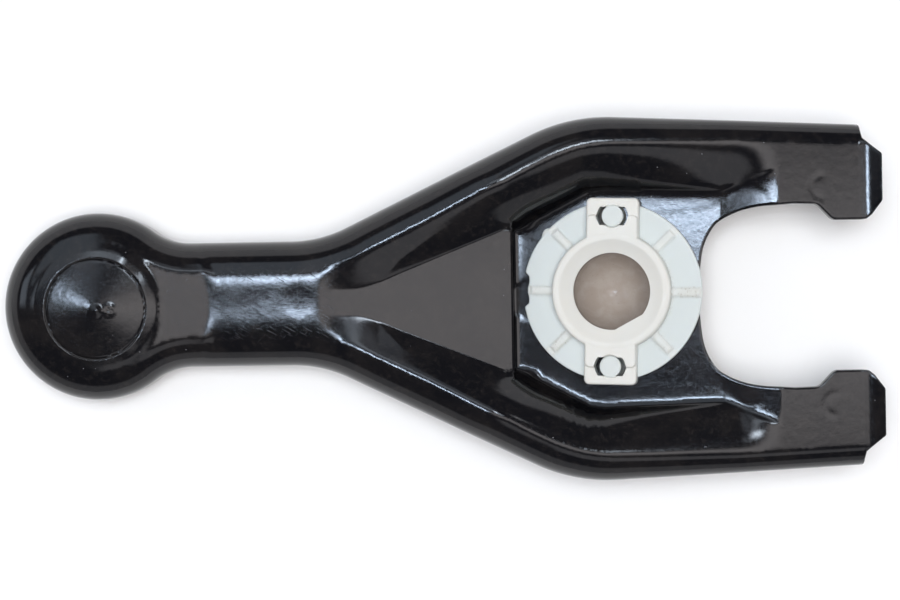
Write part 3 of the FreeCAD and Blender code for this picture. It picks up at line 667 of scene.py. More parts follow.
# points over the upper face
angles = np.radians(np.arange(7, 91, 6.5))
tang = np.gradient(side, axis=0)
tang /= np.hypot(*tang.T)[:, None]
inward = np.column_stack([-tang[:, 1], tang[:, 0]])
if inward[0, 1] > 0:
    inward = -inward
rows = []
R_s = edge_radius(side[:, 0])
for a in angles:
    rows.append(side + inward * (R_s * (1 - np.cos(a)))[:, None])
for o in np.arange(0.45, 6.2, 0.5):
    rows.append((side + inward * (R_s + o)[:, None])[:: 1])
near_rows = np.vstack(rows)
edge_rows = offset_rows(open_edge, [0.07, 0.18, 0.32, 0.7], 0.42)
edge_rows = np.vstack([edge_rows, offset_rows(open_edge, [-0.07, -0.18, -0.32, -0.7], 0.42)])
plate_line = np.vstack([(PLATEAU_TOP * [1, -1])[::-1], PLATEAU_TOP[1:]])
feat = [
    offset_rows(plate_line, [-0.35, 0.0, 0.35, 0.8, 1.3], 0.5),
    offset_rows(plate_line, [-0.8], 0.6),
    offset_rows(LOW, [-0.5, -0.15, 0.15, 0.5, 1.0, 1.6, 2.2, 2.8, 3.4], 0.5),
    offset_rows([(x, -y) for x, y in LOW], [0.5, 0.15, -0.15, -0.5, -1.0, -1.6, -2.2, -2.8, -3.4], 0.5),
    offset_rows([(STEP_X, -19.0), (STEP_X, 19.0)], [1.2, 0.8, 0.45, 0.2, 0.0, -0.1, -0.2, -0.32, -0.6, -1.0], 0.45),
    offset_rows(arc((-113.5, -0.50), 11.1, 0, 360, 200), [-2.4, -1.9, -1.4, -1.0, -0.7, -0.45, -0.25, -0.1, 0.05, 0.2, 0.4, 0.7], 0.42, False),
    offset_rows(np.column_stack([-88.2 - np.linspace(-7.5, 7.5, 40) ** 2 / 33.9, np.linspace(-7.5, 7.5, 40)]),
                [-0.9, -0.5, -0.2, 0.1, 0.4, 0.8], 0.5),
    offset_rows([(55.3, -34.0), (55.3, -17.0)], [-0.9, -0.5, -0.2, 0.1, 0.4, 0.8, 1.3, 1.7], 0.5),
    offset_rows([(55.3, 34.0), (55.3, 17.0)], [0.9, 0.5, 0.2, -0.1, -0.4, -0.8, -1.3, -1.7], 0.5),
    offset_rows([(37.0, -28.5), (37.0, -20.5)], [-0.3, 0, 0.3], 0.5),
    offset_rows([(37.0, 28.5), (37.0, 20.5)], [-0.3, 0, 0.3], 0.5),
    offset_rows([(24.2, -23.0), (24.2, -17.0)], [-0.3, 0, 0.3], 0.5),
    offset_rows([(24.2, 23.0), (24.2, 17.0)], [-0.3, 0, 0.3], 0.5),
]
loops_top = [LOOP, hole] + post_holes


def legal(P, margin):
    """Points inside the sheet and clear of its edges."""
    ok = inside(P, LOOP)
    ok &= poly_distance(P, LOOP, True) > margin
    for h in [hole] + post_holes:
        ok &= ~inside(P, h)
        ok &= poly_distance(P, h, True) > max(margin, 0.12)
    return P[ok]


feat_pts = spread(legal(np.vstack(feat), 0.05), 0.16)
rim_pts = spread(legal(edge_rows, 0.05), 0.1)
row_pts = legal(near_rows, 0.02)
row_pts = row_pts[row_pts[:, 0] < TIP_X - 0.5]
fixed = np.vstack([rim_pts, thin_out(rim_pts, feat_pts, 0.16)])
row_pts = thin_out(fixed, row_pts, 0.2)
fixed = np.vstack([fixed, row_pts])
fill = legal(hexes(-136, 60, -41, 41, 0.62), 0.25)
fill = thin_out(fixed, fill, 0.40)
inner_pts = np.vstack([fixed, fill])
xy, tris, ring = triangulate(loops_top, inner_pts)
z = top_height(xy)
tris = face_up(xy, tris)
top_v = np.column_stack([xy, z])

# underside: the sheet's thickness below the upper face
gx = np.arange(-136, 61.01, 0.6)
gy = np.arange(-42, 42.01, 0.6)
GX, GY = np.meshgrid(gx, gy, indexing="ij")
G = np.column_stack([GX.ravel(), GY.ravel()])
Z0 = top0(G, poly_distance(G, side)).reshape(GX.shape)
under = np.full_like(Z0, 1e9)
k = int(SHEET / 0.6)
for i in range(-k, k + 1):
    for j in range(-k, k + 1):
        r2 = (i * i + j * j) * 0.36
        if r2 > SHEET * SHEET:
            continue
        lower = math.sqrt(SHEET * SHEET - r2)
        S = np.roll(np.roll(Z0, -i, 0), -j, 1) - lower
        under = np.minimum(under, S)


def bilinear(F, P):
    fx = np.clip((P[:, 0] - gx[0]) / 0.6, 0, len(gx) - 1.001)
    fy = np.clip((P[:, 1] - gy[0]) / 0.6, 0, len(gy) - 1.001)
    i, j = fx.astype(int), fy.astype(int)
    a, b = fx - i, fy - j
    return (F[i, j] * (1 - a) * (1 - b) + F[i + 1, j] * a * (1 - b) + F[i, j + 1] * (1 - a) * b + F[i + 1, j + 1] * a * b)


def under_height(P):
    d = poly_distance(P, side)
    r = edge_radius(P[:, 0]) - SHEET
    return bilinear(under, P) - roll_over(r, np.maximum(d - SHEET, 0))


under_side = side + inward * SHEET
under_side[0] = (TIP_X, 37.4 - SHEET)
under_side[-1] = (TIP_X, -(37.4 - SHEET))
# the sheet's cut edges are square to it, so they lean where it does
oz = np.array([0.0])
lean = lower_to_upper.copy()
g = 0.466 * smooth(54.9, 55.7, lean[:, 0])
nx = g / np.sqrt(1 + g * g)
lean[:, 0] += nx * SHEET * 0.38
tilted = (np.abs(lean[:, 1]) < 23.5) & (lean[:, 0] < 24.2) & (lean[:, 0] > 10)
lean[tilted, 0] += math.sin(PAD_ANGLE) * SHEET * 0.6
under_loop = np.vstack([under_side, lean])
# the part of the end edge that runs outside the flange's inner face closes on it
cap = (np.arange(NL) >= NS) & (np.abs(under_loop[:, 1]) > 34.35) & (under_loop[:, 0] < 56.0)
under_loop[cap, 1] = np.sign(under_loop[cap, 1]) * 34.35
cu = spread(under_loop, 0.02)
under_rows = np.vstack([side + inward * (SHEET + (R_s - SHEET) * (1 - math.cos(a)))[:, None] for a in []] or
                       [side + inward * (SHEET + (R_s - SHEET) * (1 - math.cos(a)))[:, None]
                        for a in np.radians([25, 45, 65, 90])])
holes_u = [hole * 1.0] + [h * 1.0 for h in post_holes]
for h in holes_u:
    h[:, 0] += math.sin(PAD_ANGLE) * SHEET


def legal_u(P, margin):
    ok = inside(P, under_loop)
    ok &= poly_distance(P, under_loop, True) > margin
    for h in holes_u:
        ok &= ~inside(P, h)
        ok &= poly_distance(P, h, True) > max(margin, 0.15)
    return P[ok]


ur = legal_u(under_rows, 0.05)
ur = ur[ur[:, 0] < TIP_X - 0.6]
ur = spread(ur, 0.25)
uf = thin_out(ur, legal_u(hexes(-136, 61, -41, 41, 1.05), 0.35), 0.6)
uxy, utris, uring = triangulate([under_loop] + holes_u, np.vstack([ur, uf]))
uz = under_height(uxy)
utris = face_up(uxy, utris, up=False)
under_v = np.column_stack([uxy, uz])

V = [top_v, under_v]
F = [tris.tolist(), (utris + len(top_v)).tolist()]
base = len(top_v) + len(under_v)
ring_t = ring
ring_u = uring + len(top_v)
extra = []


def add(p):
    extra.append(p)
    return base + len(extra) - 1


def bottom(x):
    return np.maximum(0.0, (x - 12.0) * 8.0 / (TIP_X - 12.0))


# flanges: outside wall, lower rim, inside wall
STEPS = 6
cols_out, cols_in = [], []
for i in range(NS):
    x, y = side[i]
    ux, uy = under_side[i]
    zt, zu, zb = top_v[ring_t[i], 2], under_v[uring[i], 2], float(bottom(x))
    e = 0.35
    nx_, ny_ = inward[i]
    out, inn = [ring_t[i]], [ring_u[i]]
    for s in range(1, STEPS):
        f = s / STEPS
        out.append(add((x, y, zt + (zb + e - zt) * f)))
        inn.append(add((ux, uy, zu + (zb + e - zu) * f)))
    out.append(add((x, y, zb + e)))
    out.append(add((x + nx_ * 0.12, y + ny_ * 0.12, zb + 0.1)))
    out.append(add((x + nx_ * 0.4, y + ny_ * 0.4, zb)))
    inn.append(add((ux, uy, zb + e)))
    inn.append(add((ux - nx_ * 0.12, uy - ny_ * 0.12, zb + 0.1)))
    inn.append(add((ux - nx_ * 0.4, uy - ny_ * 0.4, zb)))
    cols_out.append(out)
    cols_in.append(inn)
walls = []
for i in range(NS - 1):
    a, b = cols_out[i], cols_out[i + 1]
    for s in range(len(a) - 1):
        walls.append((a[s], a[s + 1], b[s + 1], b[s]))
    c, d_ = cols_in[i], cols_in[i + 1]
    for s in range(len(c) - 1):
        walls.append((c[s], d_[s], d_[s + 1], c[s + 1]))
    walls.append((a[-1], c[-1], d_[-1], b[-1]))
# end caps of the flanges
for i, flip in ((0, False), (NS - 1, True)):
    a, c = cols_out[i], cols_in[i]
    for s in range(len(a) - 1):
        q = (a[s], c[s], c[s + 1], a[s + 1])
        walls.append(q[::-1] if flip else q)
# cut edges of the sheet
idx = list(range(NS - 1, NL)) + [0]
for i, j in zip(idx[:-1], idx[1:]):
    q = (ring_t[i], ring_u[i], ring_u[j], ring_t[j])
    if len(set(q)) == 4:
        walls.append(q)
    elif len(set(q)) == 3:
        walls.append(tuple(dict.fromkeys(q)))
at = NL
for h in [hole] + post_holes:
    n = len(h)
    for i in range(n):
        j = (i + 1) % n
        walls.append((ring_t[at + j], ring_u[at + j], ring_u[at + i], ring_t[at + i]))
    at += n
all_v = np.vstack([top_v, under_v, np.array(extra)])
lever = make("fork_lever_pressing", all_v, F[0] + F[1] + walls, PAINT, sharp=42.0)
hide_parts("fork_lever")

# ------------------------------------------------------------------ socket
# Its own frame: z' = 0 at the ball centre, square to the pad.
turn = Matrix.Rotation(-PAD_ANGLE, 3, "Y") @ Matrix.Rotation(math.radians(-1.7), 3, "Z")
TURN = (np.array(turn) / 1000.0, np.zeros(3))

DISC_R, HUB_R, MOUTH_R, BALL_R = 19.7, 13.05, 11.4, 8.47
Z_UNDER, Z_DISC, Z_HUB, Z_LIP = -1.5, 0.5, 4.0, 2.0
EAR_TOP = 2.8


def box_poly(x0, x1, y0, y1, r, n=6):
    c = [(x1 - r, y1 - r, 0), (x0 + r, y1 - r, 90), (x0 + r, y0 + r, 180), (x1 - r, y0 + r, 270)]
    return np.vstack([arc((cx, cy), r, a, a + 90, n) for cx, cy, a in c])


def disc_outline():
    th = np.linspace(0, 2 * np.pi, 620, endpoint=False)
    r = np.full_like(th, DISC_R)
    deg = (np.degrees(th) + 180) % 360 - 180
    # left notch with a scallop each side of the rib
    off = (deg - 180 + 180) % 360 - 180
    yy = DISC_R * np.sin(np.radians(off))
    cut = 0.95 * smooth(3.9, 3.1, np.abs(yy - (-0.1)))
    cut += 0.22 * np.cos(np.clip(np.abs(np.abs(yy) - 1.9) / 1.3, 0, 1) * np.pi / 2)
    r = r - cut * (np.abs(yy) < 4.2) * (np.abs(off) < 40)
    p = np.column_stack([r * np.cos(th), r * np.sin(th)])
    return p


def union_outline():
    """Disc outline with the two ears' outer ends."""
    p = disc_outline()
    ear = 5.8
    out = []
    reach = 20.55
    for q in p:
        x, y = q
        if abs(x) <= ear and abs(y) > 10:
            continue
        out.append(q)
    out = np.array(out)
    ang = np.arctan2(out[:, 1], out[:, 0])
    order = np.argsort(ang)
    out = out[order]
    res = []
    y_at = math.sqrt(DISC_R ** 2 - ear ** 2)
    up = np.vstack([[(ear, y_at)], corner((ear, y_at), (ear, reach), (-ear, reach), 1.1, 8),
                    corner((ear, reach), (-ear, reach), (-ear, y_at), 1.1, 8), [(-ear, y_at)]])
    dn = up * [-1, -1]
    a = np.arctan2(out[:, 1], out[:, 0])
    res.append(out[(a > -np.pi / 2) & (a < np.pi / 2)])
    res.append(up)
    res.append(out[a >= np.pi / 2])
    res.append(out[a <= -np.pi / 2])
    res.append(dn)
    return resample(np.vstack(res), 0.22, True)


S_OUT = union_outline()
WIN = []
for s in (1, -1):
    cy = 16.5 * s
    hl, hw = 3.6, 2.15
    WIN.append(rounded_path([(0, cy - hw), (hl - 0.9, cy - hw), (hl, cy), (hl - 0.9, cy + hw), (-hl + 0.9, cy + hw),
                             (-hl, cy), (-hl + 0.9, cy - hw), (-0.01, cy - hw)], [0, 0.35, 0.9, 0.35, 0.35, 0.9, 0.35, 0], 6))
# each window keeps only its two crescents: the post fills its middle
CRES = []
for s in (1, -1):
    cy = 16.5 * s
    for side_x in (1, -1):
        rr = 2.35
        yy = np.linspace(-2.05, 2.05, 22)
        outer = np.column_stack([np.interp(np.abs(yy), [0, 1.2, 2.05], [3.6, 3.2, 2.7]) * side_x, cy + yy])
        innr = np.column_stack([np.sqrt(np.maximum(rr * rr - yy * yy, 0)) * side_x, cy + yy])
        loop = np.vstack([outer, innr[::-1]])
        CRES.append(resample(loop, 0.2, True))


def mouth_edge(th):
    """Radius of the mouth's sharp edge: round, with a sliver of flash as one flat."""
    off = (np.degrees(th) + 60 + 180) % 360 - 180
    flat = (BALL_R - 0.74) / np.maximum(np.cos(np.radians(off)), 0.2)
    return np.where(np.abs(off) < 33, np.minimum(BALL_R, flat), BALL_R)


th = np.linspace(0, 2 * np.pi, 240, endpoint=False)
MOUTH = np.column_stack([mouth_edge(th) * np.cos(th), mouth_edge(th) * np.sin(th)])
RIB_DEG = [0, 45, 135, 180, 225, 315]


def step_up(s, h, e=0.12, r=0.22):
    """A raised area of height h: s is the distance inside its edge."""
    up = smooth(-e, e * 0.4, s)
    rnd = r - np.sqrt(np.maximum(r * r - np.clip(r - s, 0, r) ** 2, 0))
    return np.maximum(h * up - np.minimum(rnd, h) * (s > -e), 0)


BLOCK = [box_poly(-5.6, 5.6, 8.0, 16.7, 1.0), box_poly(-5.6, 5.6, -16.7, -8.0, 1.0)]
EAR = [box_poly(-5.8, 5.8, 9.0, 20.55, 1.2), box_poly(-5.8, 5.8, -20.55, -9.0, 1.2)]


def socket_top(P):
    x, y = P[:, 0], P[:, 1]
    r = np.hypot(x, y)
    th_ = np.arctan2(y, x)
    z = np.full(len(P), Z_DISC)
    # disc edge rounding
    do = poly_distance(P, S_OUT, True)
    for e in EAR:
        s = -signed(P, e)
        z = np.maximum(z, Z_DISC + step_up(s, EAR_TOP - Z_DISC, e=0.2, r=0.6))
    for b in BLOCK:
        s = -signed(P, b)
        z = np.maximum(z, Z_DISC + step_up(s, 3.93 - Z_DISC, e=0.2, r=0.5))
    for k_, dg in enumerate(RIB_DEG):
        c, s_ = math.cos(math.radians(dg)), math.sin(math.radians(dg))
        u = x * c + y * s_
        v = -x * s_ + y * c
        reach = 19.35 if dg == 0 else (18.0 if dg == 180 else 18.3)
        s = np.minimum(0.85 - np.abs(v), np.minimum(reach - u, u))
        z = np.maximum(z, Z_DISC + 0.46 * smooth(-0.3, 0.34, s) + 0.3 * np.exp(-((u - 13.0) / 0.5) ** 2) * smooth(-0.9, 0.3, s))
    # hub: rounded shoulder, countersunk mouth
    sh = HUB_R - r
    z = np.maximum(z, Z_DISC + step_up(sh, Z_HUB - Z_DISC, e=0.2, r=0.85))
    me = mouth_edge(th_)
    f = np.clip((r - me) / (MOUTH_R - me), 0, 1)
    fun = Z_LIP + (Z_HUB - Z_LIP) * f
    fun = fun - 0.12 * np.sin(np.pi * f)
    z = np.where(r < MOUTH_R + 0.35, smin(z, np.where(r < MOUTH_R, fun, Z_HUB + (r - MOUTH_R) * 0.9), 0.22), z)
    # posts: flat heads level with the ears' outer ends
    for s0 in (1, -1):
        rp = np.hypot(x, y - 16.5 * s0)
        head = rp < 2.42
        z = np.where(head, EAR_TOP - 0.05 - np.clip((rp - 2.05) / 0.35, 0, 1) ** 2 * 0.22, z)
        ring_ = np.exp(-((rp - 2.52) / 0.12) ** 2)
        z = z - 0.35 * ring_ * (np.abs(y) < 18.9)
    z = z - roll_over(np.full(len(P), 0.25), do)
    # small sinks and moulding marks
    z = z + 0.02 * np.sin(x * 0.9 + 1.3) * np.sin(y * 0.7)
    return z


sf = [
    offset_rows(S_OUT, [0.06, 0.14, 0.25, 0.5], 0.3, True),
    offset_rows(arc((0, 0), HUB_R, 0, 360, 300)[:-1], [-0.3, -0.14, 0.0, 0.12, 0.3, 0.5, 0.75, 1.1], 0.3, True),
    offset_rows(arc((0, 0), MOUTH_R, 0, 360, 300)[:-1], [-0.35, -0.15, 0.0, 0.15, 0.35], 0.3, True),
    offset_rows(MOUTH, [-0.15, -0.4, -0.8, -1.3], 0.28, True),
]
for sgn in (1, -1):
    sf.append(offset_rows(arc((0, 16.5 * sgn), 2.35, 0, 360, 90)[:-1], [-0.35, -0.18, 0.0, 0.12, 0.3, 0.6], 0.2, True))
for poly in BLOCK + EAR:
    sf.append(offset_rows(poly, [-0.12, -0.04, 0.05, 0.14, 0.3, 0.55], 0.26, True))
for dg in RIB_DEG:
    c, s_ = math.cos(math.radians(dg)), math.sin(math.radians(dg))
    reach = 19.35 if dg == 0 else (18.0 if dg == 180 else 18.3)
    for v in (0.85, -0.85):
        a = (12.9 * c - v * s_, 12.9 * s_ + v * c)
        b = (reach * c - v * s_, reach * s_ + v * c)
        sf.append(offset_rows([a, b], [-0.22, -0.1, 0.0, 0.08, 0.2], 0.3))
    a = (reach * c - 0.85 * s_, reach * s_ + 0.85 * c)
    b = (reach * c + 0.85 * s_, reach * s_ - 0.85 * c)
    sf.append(offset_rows([a, b], [-0.2, -0.08, 0.0, 0.1, 0.2], 0.3))


def legal_s(P, margin):
    ok = inside(P, S_OUT) & (poly_distance(P, S_OUT, True) > margin)
    ok &= ~inside(P, MOUTH) & (poly_distance(P, MOUTH, True) > margin)
    for c in CRES:
        ok &= ~inside(P, c) & (poly_distance(P, c, True) > margin)
    return P[ok]


sp = spread(legal_s(np.vstack(sf), 0.045), 0.085)
sh_ = thin_out(sp, legal_s(hexes(-21, 21, -21.5, 21.5, 0.42), 0.12), 0.25)
sxy, stris, sring = triangulate([S_OUT, MOUTH] + CRES, np.vstack([sp, sh_]))
sz = socket_top(sxy)
stris = face_up(sxy, stris)
sv = np.column_stack([sxy, sz])
sfaces = stris.tolist()
sextra = []
sbase = len(sv)


def sadd(p):
    sextra.append(p)
    return sbase + len(sextra) - 1


def drop_wall(loop_ids, pts, levels, hole_side):
    """Walls from a boundary loop of the top down to the given levels."""
    prev = [int(i) for i in loop_ids]
    for lv, shift in levels:
        cur = []
        for q, p in enumerate(pts):
            nx_, ny_ = shift(p) if callable(shift) else (0, 0)
            cur.append(sadd((p[0] + nx_, p[1] + ny_, lv)))
        n = len(prev)
        for i in range(n):
            j = (i + 1) % n
            q = (prev[i], cur[i], cur[j], prev[j])
            sfaces.append(q if not hole_side else q[::-1])
        prev = cur
    return prev


n_out, n_mouth = len(S_OUT), len(MOUTH)
area = 0.5 * np.sum(S_OUT[:, 0] * np.roll(S_OUT[:, 1], -1) - np.roll(S_OUT[:, 0], -1) * S_OUT[:, 1])
ccw = area > 0
last_out = drop_wall(sring[:n_out], S_OUT, [(-0.5, None), (Z_UNDER + 0.12, None), (Z_UNDER, lambda p: (-p[0] * 0.005, -p[1] * 0.005))], not ccw)
lip_wall = drop_wall(sring[n_out : n_out + n_mouth], MOUTH, [(1.75, None), (1.42, None)], True)
at = n_out + n_mouth
for c in CRES:
    ar = 0.5 * np.sum(c[:, 0] * np.roll(c[:, 1], -1) - np.roll(c[:, 0], -1) * c[:, 1])
    drop_wall(sring[at : at + len(c)], c, [(-0.5, None), (Z_UNDER, None)], ar > 0)
    at += len(c)
# underside of the disc, closed cup behind the seat
ux_, ut_, ur_ = triangulate([S_OUT * 0.995, arc((0, 0), 10.25, 0, 360, 121)[:-1]] + CRES, hexes(-19, 19, -19, 19, 1.2)[
    (np.hypot(*hexes(-19, 19, -19, 19, 1.2).T) > 10.9) & (np.hypot(*hexes(-19, 19, -19, 19, 1.2).T) < 18.4)
    & (np.abs(np.abs(hexes(-19, 19, -19, 19, 1.2)[:, 1]) - 16.5) > 2.6)])
off_u = sbase + len(sextra)
for p in ux_:
    sextra.append((p[0], p[1], Z_UNDER))
sfaces += (face_up(ux_, ut_, up=False) + off_u).tolist()
cup_ring = [int(i) + off_u for i in ur_[n_out : n_out + 120]]
prev = cup_ring
circ = arc((0, 0), 1.0, 0, 360, 121)[:-1]
for dg in np.arange(4, 91, 5.0):
    a = math.asin(1.5 / 10.42) + math.radians(dg) * (1 - math.asin(1.5 / 10.42) / (math.pi / 2))
    rr, zz = 10.42 * math.cos(a), -10.42 * math.sin(a)
    if dg > 86:
        rr = 0.3
    cur = [sadd((c_[0] * rr, c_[1] * rr, zz)) for c_ in circ]
    for i in range(120):
        j = (i + 1) % 120
        sfaces.append((prev[i], prev[j], cur[j], cur[i]))
    prev = cur
tip_ = sadd((0, 0, -10.42))
for i in range(120):
    sfaces.append((prev[i], prev[(i + 1) % 120], tip_))


def lathe(profile, c, n=28):
    rings = []
    for r_, z_ in profile:
        if r_ < 1e-6:
            rings.append([sadd((c[0], c[1], z_))])
        else:
            rings.append([sadd((c[0] + r_ * math.cos(2 * math.pi * i / n), c[1] + r_ * math.sin(2 * math.pi * i / n), z_)) for i in range(n)])
    for a, b in zip(rings[:-1], rings[1:]):
        for i in range(n):
            j = (i + 1) % n
            if len(b) == 1:
                sfaces.append((a[i], a[j], b[0]))
            elif len(a) == 1:
                sfaces.append((a[0], b[j], b[i]))
            else:
                sfaces.append((a[i], a[j], b[j], b[i]))


for s0 in (1, -1):
    lathe([(1.3, -1.4), (1.3, -4.4), (1.45, -4.6), (2.55, -4.75), (2.6, -4.9), (1.9, -5.9), (0.9, -6.75), (0.55, -6.88), (0.0, -6.9)], (0, 16.5 * s0))
# lip's underside and the wall behind it, seen past the mouth's edge
inner_ring = []
for i, p in enumerate(MOUTH):
    t_ = math.atan2(p[1], p[0])
    inner_ring.append(sadd((9.3 * math.cos(t_), 9.3 * math.sin(t_), 1.41)))
for i in range(n_mouth):
    j = (i + 1) % n_mouth
    sfaces.append((lip_wall[j], lip_wall[i], inner_ring[i], inner_ring[j]))
# a small burr on the flange's rim
burr = [(17.9, 132.5, 0.3), (19.9, 139.0, 0.12), (19.95, 144.0, 0.3), (18.9, 146.5, 0.25)]
sall = np.vstack([sv, np.array(sextra)])
socket = make("ball_socket_moulding", sall, sfaces, WHITE, TURN, sharp=38.0)
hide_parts("ball_socket")


def paint_attributes(ob, pts):
    x, y, zz = pts.T
    r = np.hypot(x, y)
    warm = smooth(0.75, 1.6, zz) * 0.85 + 0.1
    warm = np.maximum(warm, smooth(12.2, 11.0, r))
    for dg in RIB_DEG:
        c, s_ = math.cos(math.radians(dg)), math.sin(math.radians(dg))
        u, v = x * c + y * s_, -x * s_ + y * c
        warm = np.maximum(warm, 0.5 * smooth(1.25, 0.7, np.abs(v)) * (u > 11))
    post = np.minimum(np.hypot(x, y - 16.5), np.hypot(x, y + 16.5))
    warm = np.where(post < 2.4, 0.25, warm)
    # mask for grime flecks and painted shade: the hub's foot (heavier on its right side), the right rib's end and the
    # ribs' feet
    hubline = np.exp(-((r - HUB_R - 0.15) / 0.3) ** 2) * (zz < 3.4)
    ang = np.degrees(np.arctan2(y, x))
    grime_shade_mask = 0.35 * hubline + 0.55 * hubline * smooth(-60, -20, ang) * smooth(60, 20, ang)
    right = smooth(14.0, 15.5, x) * smooth(1.5, 0.9, np.abs(y)) * smooth(19.6, 18.6, x)
    grime_shade_mask = np.maximum(grime_shade_mask, 1.0 * right)
    for dg, amp in ((225, 0.75), (315, 0.35), (180, 0.2), (45, 0.2), (135, 0.2), (0, 0.4)):
        c, s_ = math.cos(math.radians(dg)), math.sin(math.radians(dg))
        u, v = x * c + y * s_, -x * s_ + y * c
        grime_shade_mask = np.maximum(grime_shade_mask, amp * np.exp(-((np.abs(v) - 0.95) / 0.3) ** 2) * (u > 12.5) * (zz < 1.2))
        grime_shade_mask = np.maximum(grime_shade_mask, amp * smooth(1.1, 0.6, np.abs(v)) * smooth(14.5, 17.0, u) * (u < 18.4))
    for nm, val in (("warmth", warm), ("grime_and_shade", grime_shade_mask)):
        at_ = ob.data.attributes.new(nm, "FLOAT", "POINT")
        at_.data.foreach_set("value", np.clip(val, 0, 1).astype(np.float32))


paint_attributes(socket, sall)

# burr of flash on the flange's rim
bv, bf = [], []
for k_, (r_, a_, h_) in enumerate([(19.2, 134.0, 0.35), (20.3, 137.0, 0.2), (20.45, 139.5, 0.35), (20.0, 142.5, 0.45), (19.3, 146.0, 0.3)]):
    t_ = math.radians(a_)
    for rr, zz in ((r_, 0.2 + h_ * 0.5), (r_ - 0.05, 0.0), (19.0, -0.1), (18.8, 0.62)):
        bv.append((rr * math.cos(t_), rr * math.sin(t_), zz))
for k_ in range(4):
    for s_ in range(4):
        a_, b_ = k_ * 4 + s_, k_ * 4 + (s_ + 1) % 4
        bf.append((a_, b_, b_ + 4, a_ + 4))
bf += [(3, 2, 1, 0), (16, 17, 18, 19)]
flash = make("socket_edge_flash", bv, bf, WHITE, TURN, sharp=30)
sub = flash.modifiers.new("soft", "SUBSURF")
sub.levels = sub.render_levels = 2
# a light touch of grime and painted shade on the burr
for nm, val in (("warmth", 0.3), ("grime_and_shade", 0.15)):
    at_ = flash.data.attributes.new(nm, "FLOAT", "POINT")
    at_.data.foreach_set("value", [val] * len(bv))

# ------------------------------------------------------------------ liner
lv, lf = [], []
prof = [(9.28, 1.36), (8.47, 1.38), (8.47, 0.7), (8.47, 0.0)]
prof += [(8.47 * math.cos(a), -8.47 * math.sin(a)) for a in np.radians(np.arange(4, 86, 4))]
NL_ = 144
for r_, z_ in prof:
    for i in range(NL_):
        t_ = 2 * math.pi * i / NL_
        wob = 1 + 0.0015 * math.sin(5 * t_ + z_) * (z_ < -1)
        lv.append((r_ * wob * math.cos(t_), r_ * wob * math.sin(t_), z_))
for a in range(len(prof) - 1):
    for i in range(NL_):
        j = (i + 1) % NL_
        lf.append((a * NL_ + i, a * NL_ + j, (a + 1) * NL_ + j, (a + 1) * NL_ + i))
c0 = len(lv)
lv.append((0, 0, -8.47))
last = (len(prof) - 1) * NL_
for i in range(NL_):
    lf.append((last + i, last + (i + 1) % NL_, c0))
# outer side
oprof = [(9.28, 1.36), (9.28, 0.0)] + [(9.28 * math.cos(a), -9.28 * math.sin(a)) for a in np.radians(np.arange(6, 86, 6))]
o0 = len(lv)
for r_, z_ in oprof[1:]:
    for i in range(NL_):
        t_ = 2 * math.pi * i / NL_
        lv.append((r_ * math.cos(t_), r_ * math.sin(t_), z_))
prev = list(range(NL_))
for a in range(len(oprof) - 1):
    cur = [o0 + a * NL_ + i for i in range(NL_)]
    for i in range(NL_):
        j = (i + 1) % NL_
        lf.append((prev[j], prev[i], cur[i], cur[j]))
    prev = cur
c1 = len(lv)
lv.append((0, 0, -9.28))
for i in range(NL_):
    lf.append((prev[(i + 1) % NL_], prev[i], c1))
liner = make("seat_liner_cup", lv, lf, TAN, TURN, sharp=50)
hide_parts("seat_liner")

# ------------------------------------------------------------------ floor
fz = -BALL[2] / 1000.0 - 0.00002
fv = [(-3, -3, fz), (3, -3, fz), (3, 3, fz), (-3, 3, fz)]
fm = bpy.data.meshes.new("floor")
fm.from_pydata(fv, [], [(0, 1, 2, 3)])
floor = bpy.data.objects.new("floor", fm)
bpy.context.scene.collection.objects.link(floor)
floor.data.materials.append(floor_material())
floor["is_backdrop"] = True

# ------------------------------------------------------------------ light
world = bpy.data.worlds.new("studio")
bpy.context.scene.world = world
world.use_nodes = True
world.node_tree.nodes.clear()
w = Nodes(world.node_tree)
wout = w.new("ShaderNodeOutputWorld")
bg = w.new("ShaderNodeBackground")
world.node_tree.links.new(bg.outputs[0], wout.inputs[0])
dirn = w.new("ShaderNodeTexCoord").outputs["Generated"]
sep = w.new("ShaderNodeSeparateXYZ")
w.put(sep.inputs[0], dirn)
dx, dy, dz = sep.outputs
up = w.math("MAXIMUM", dz, 0.02)
rx = w.math("DIVIDE", dx, up)
ry = w.math("DIVIDE", dy, up)
rr = w.math("SQRT", w.math("ADD", w.math("MULTIPLY", rx, rx), w.math("MULTIPLY", ry, ry)))


def patch(x0, x1, y0, y1, sx, sy, colour, power):
    m_ = w.math("MULTIPLY", w.window(rx, x0, x1, sx), w.window(ry, y0, y1, sy))
    n_ = w.new("ShaderNodeMix", data_type="RGBA")
    w.put(n_.inputs[0], m_)
    n_.inputs[6].default_value = (0, 0, 0, 1)
    n_.inputs[7].default_value = (colour[0] * power, colour[1] * power, colour[2] * power, 1)
    return n_.outputs[2]


def plus(a, b):
    n_ = w.new("ShaderNodeMix", data_type="RGBA", blend_type="ADD")
    n_.inputs[0].default_value = 1.0
    w.put(n_.inputs[6], a)
    w.put(n_.inputs[7], b)
    return n_.outputs[2]


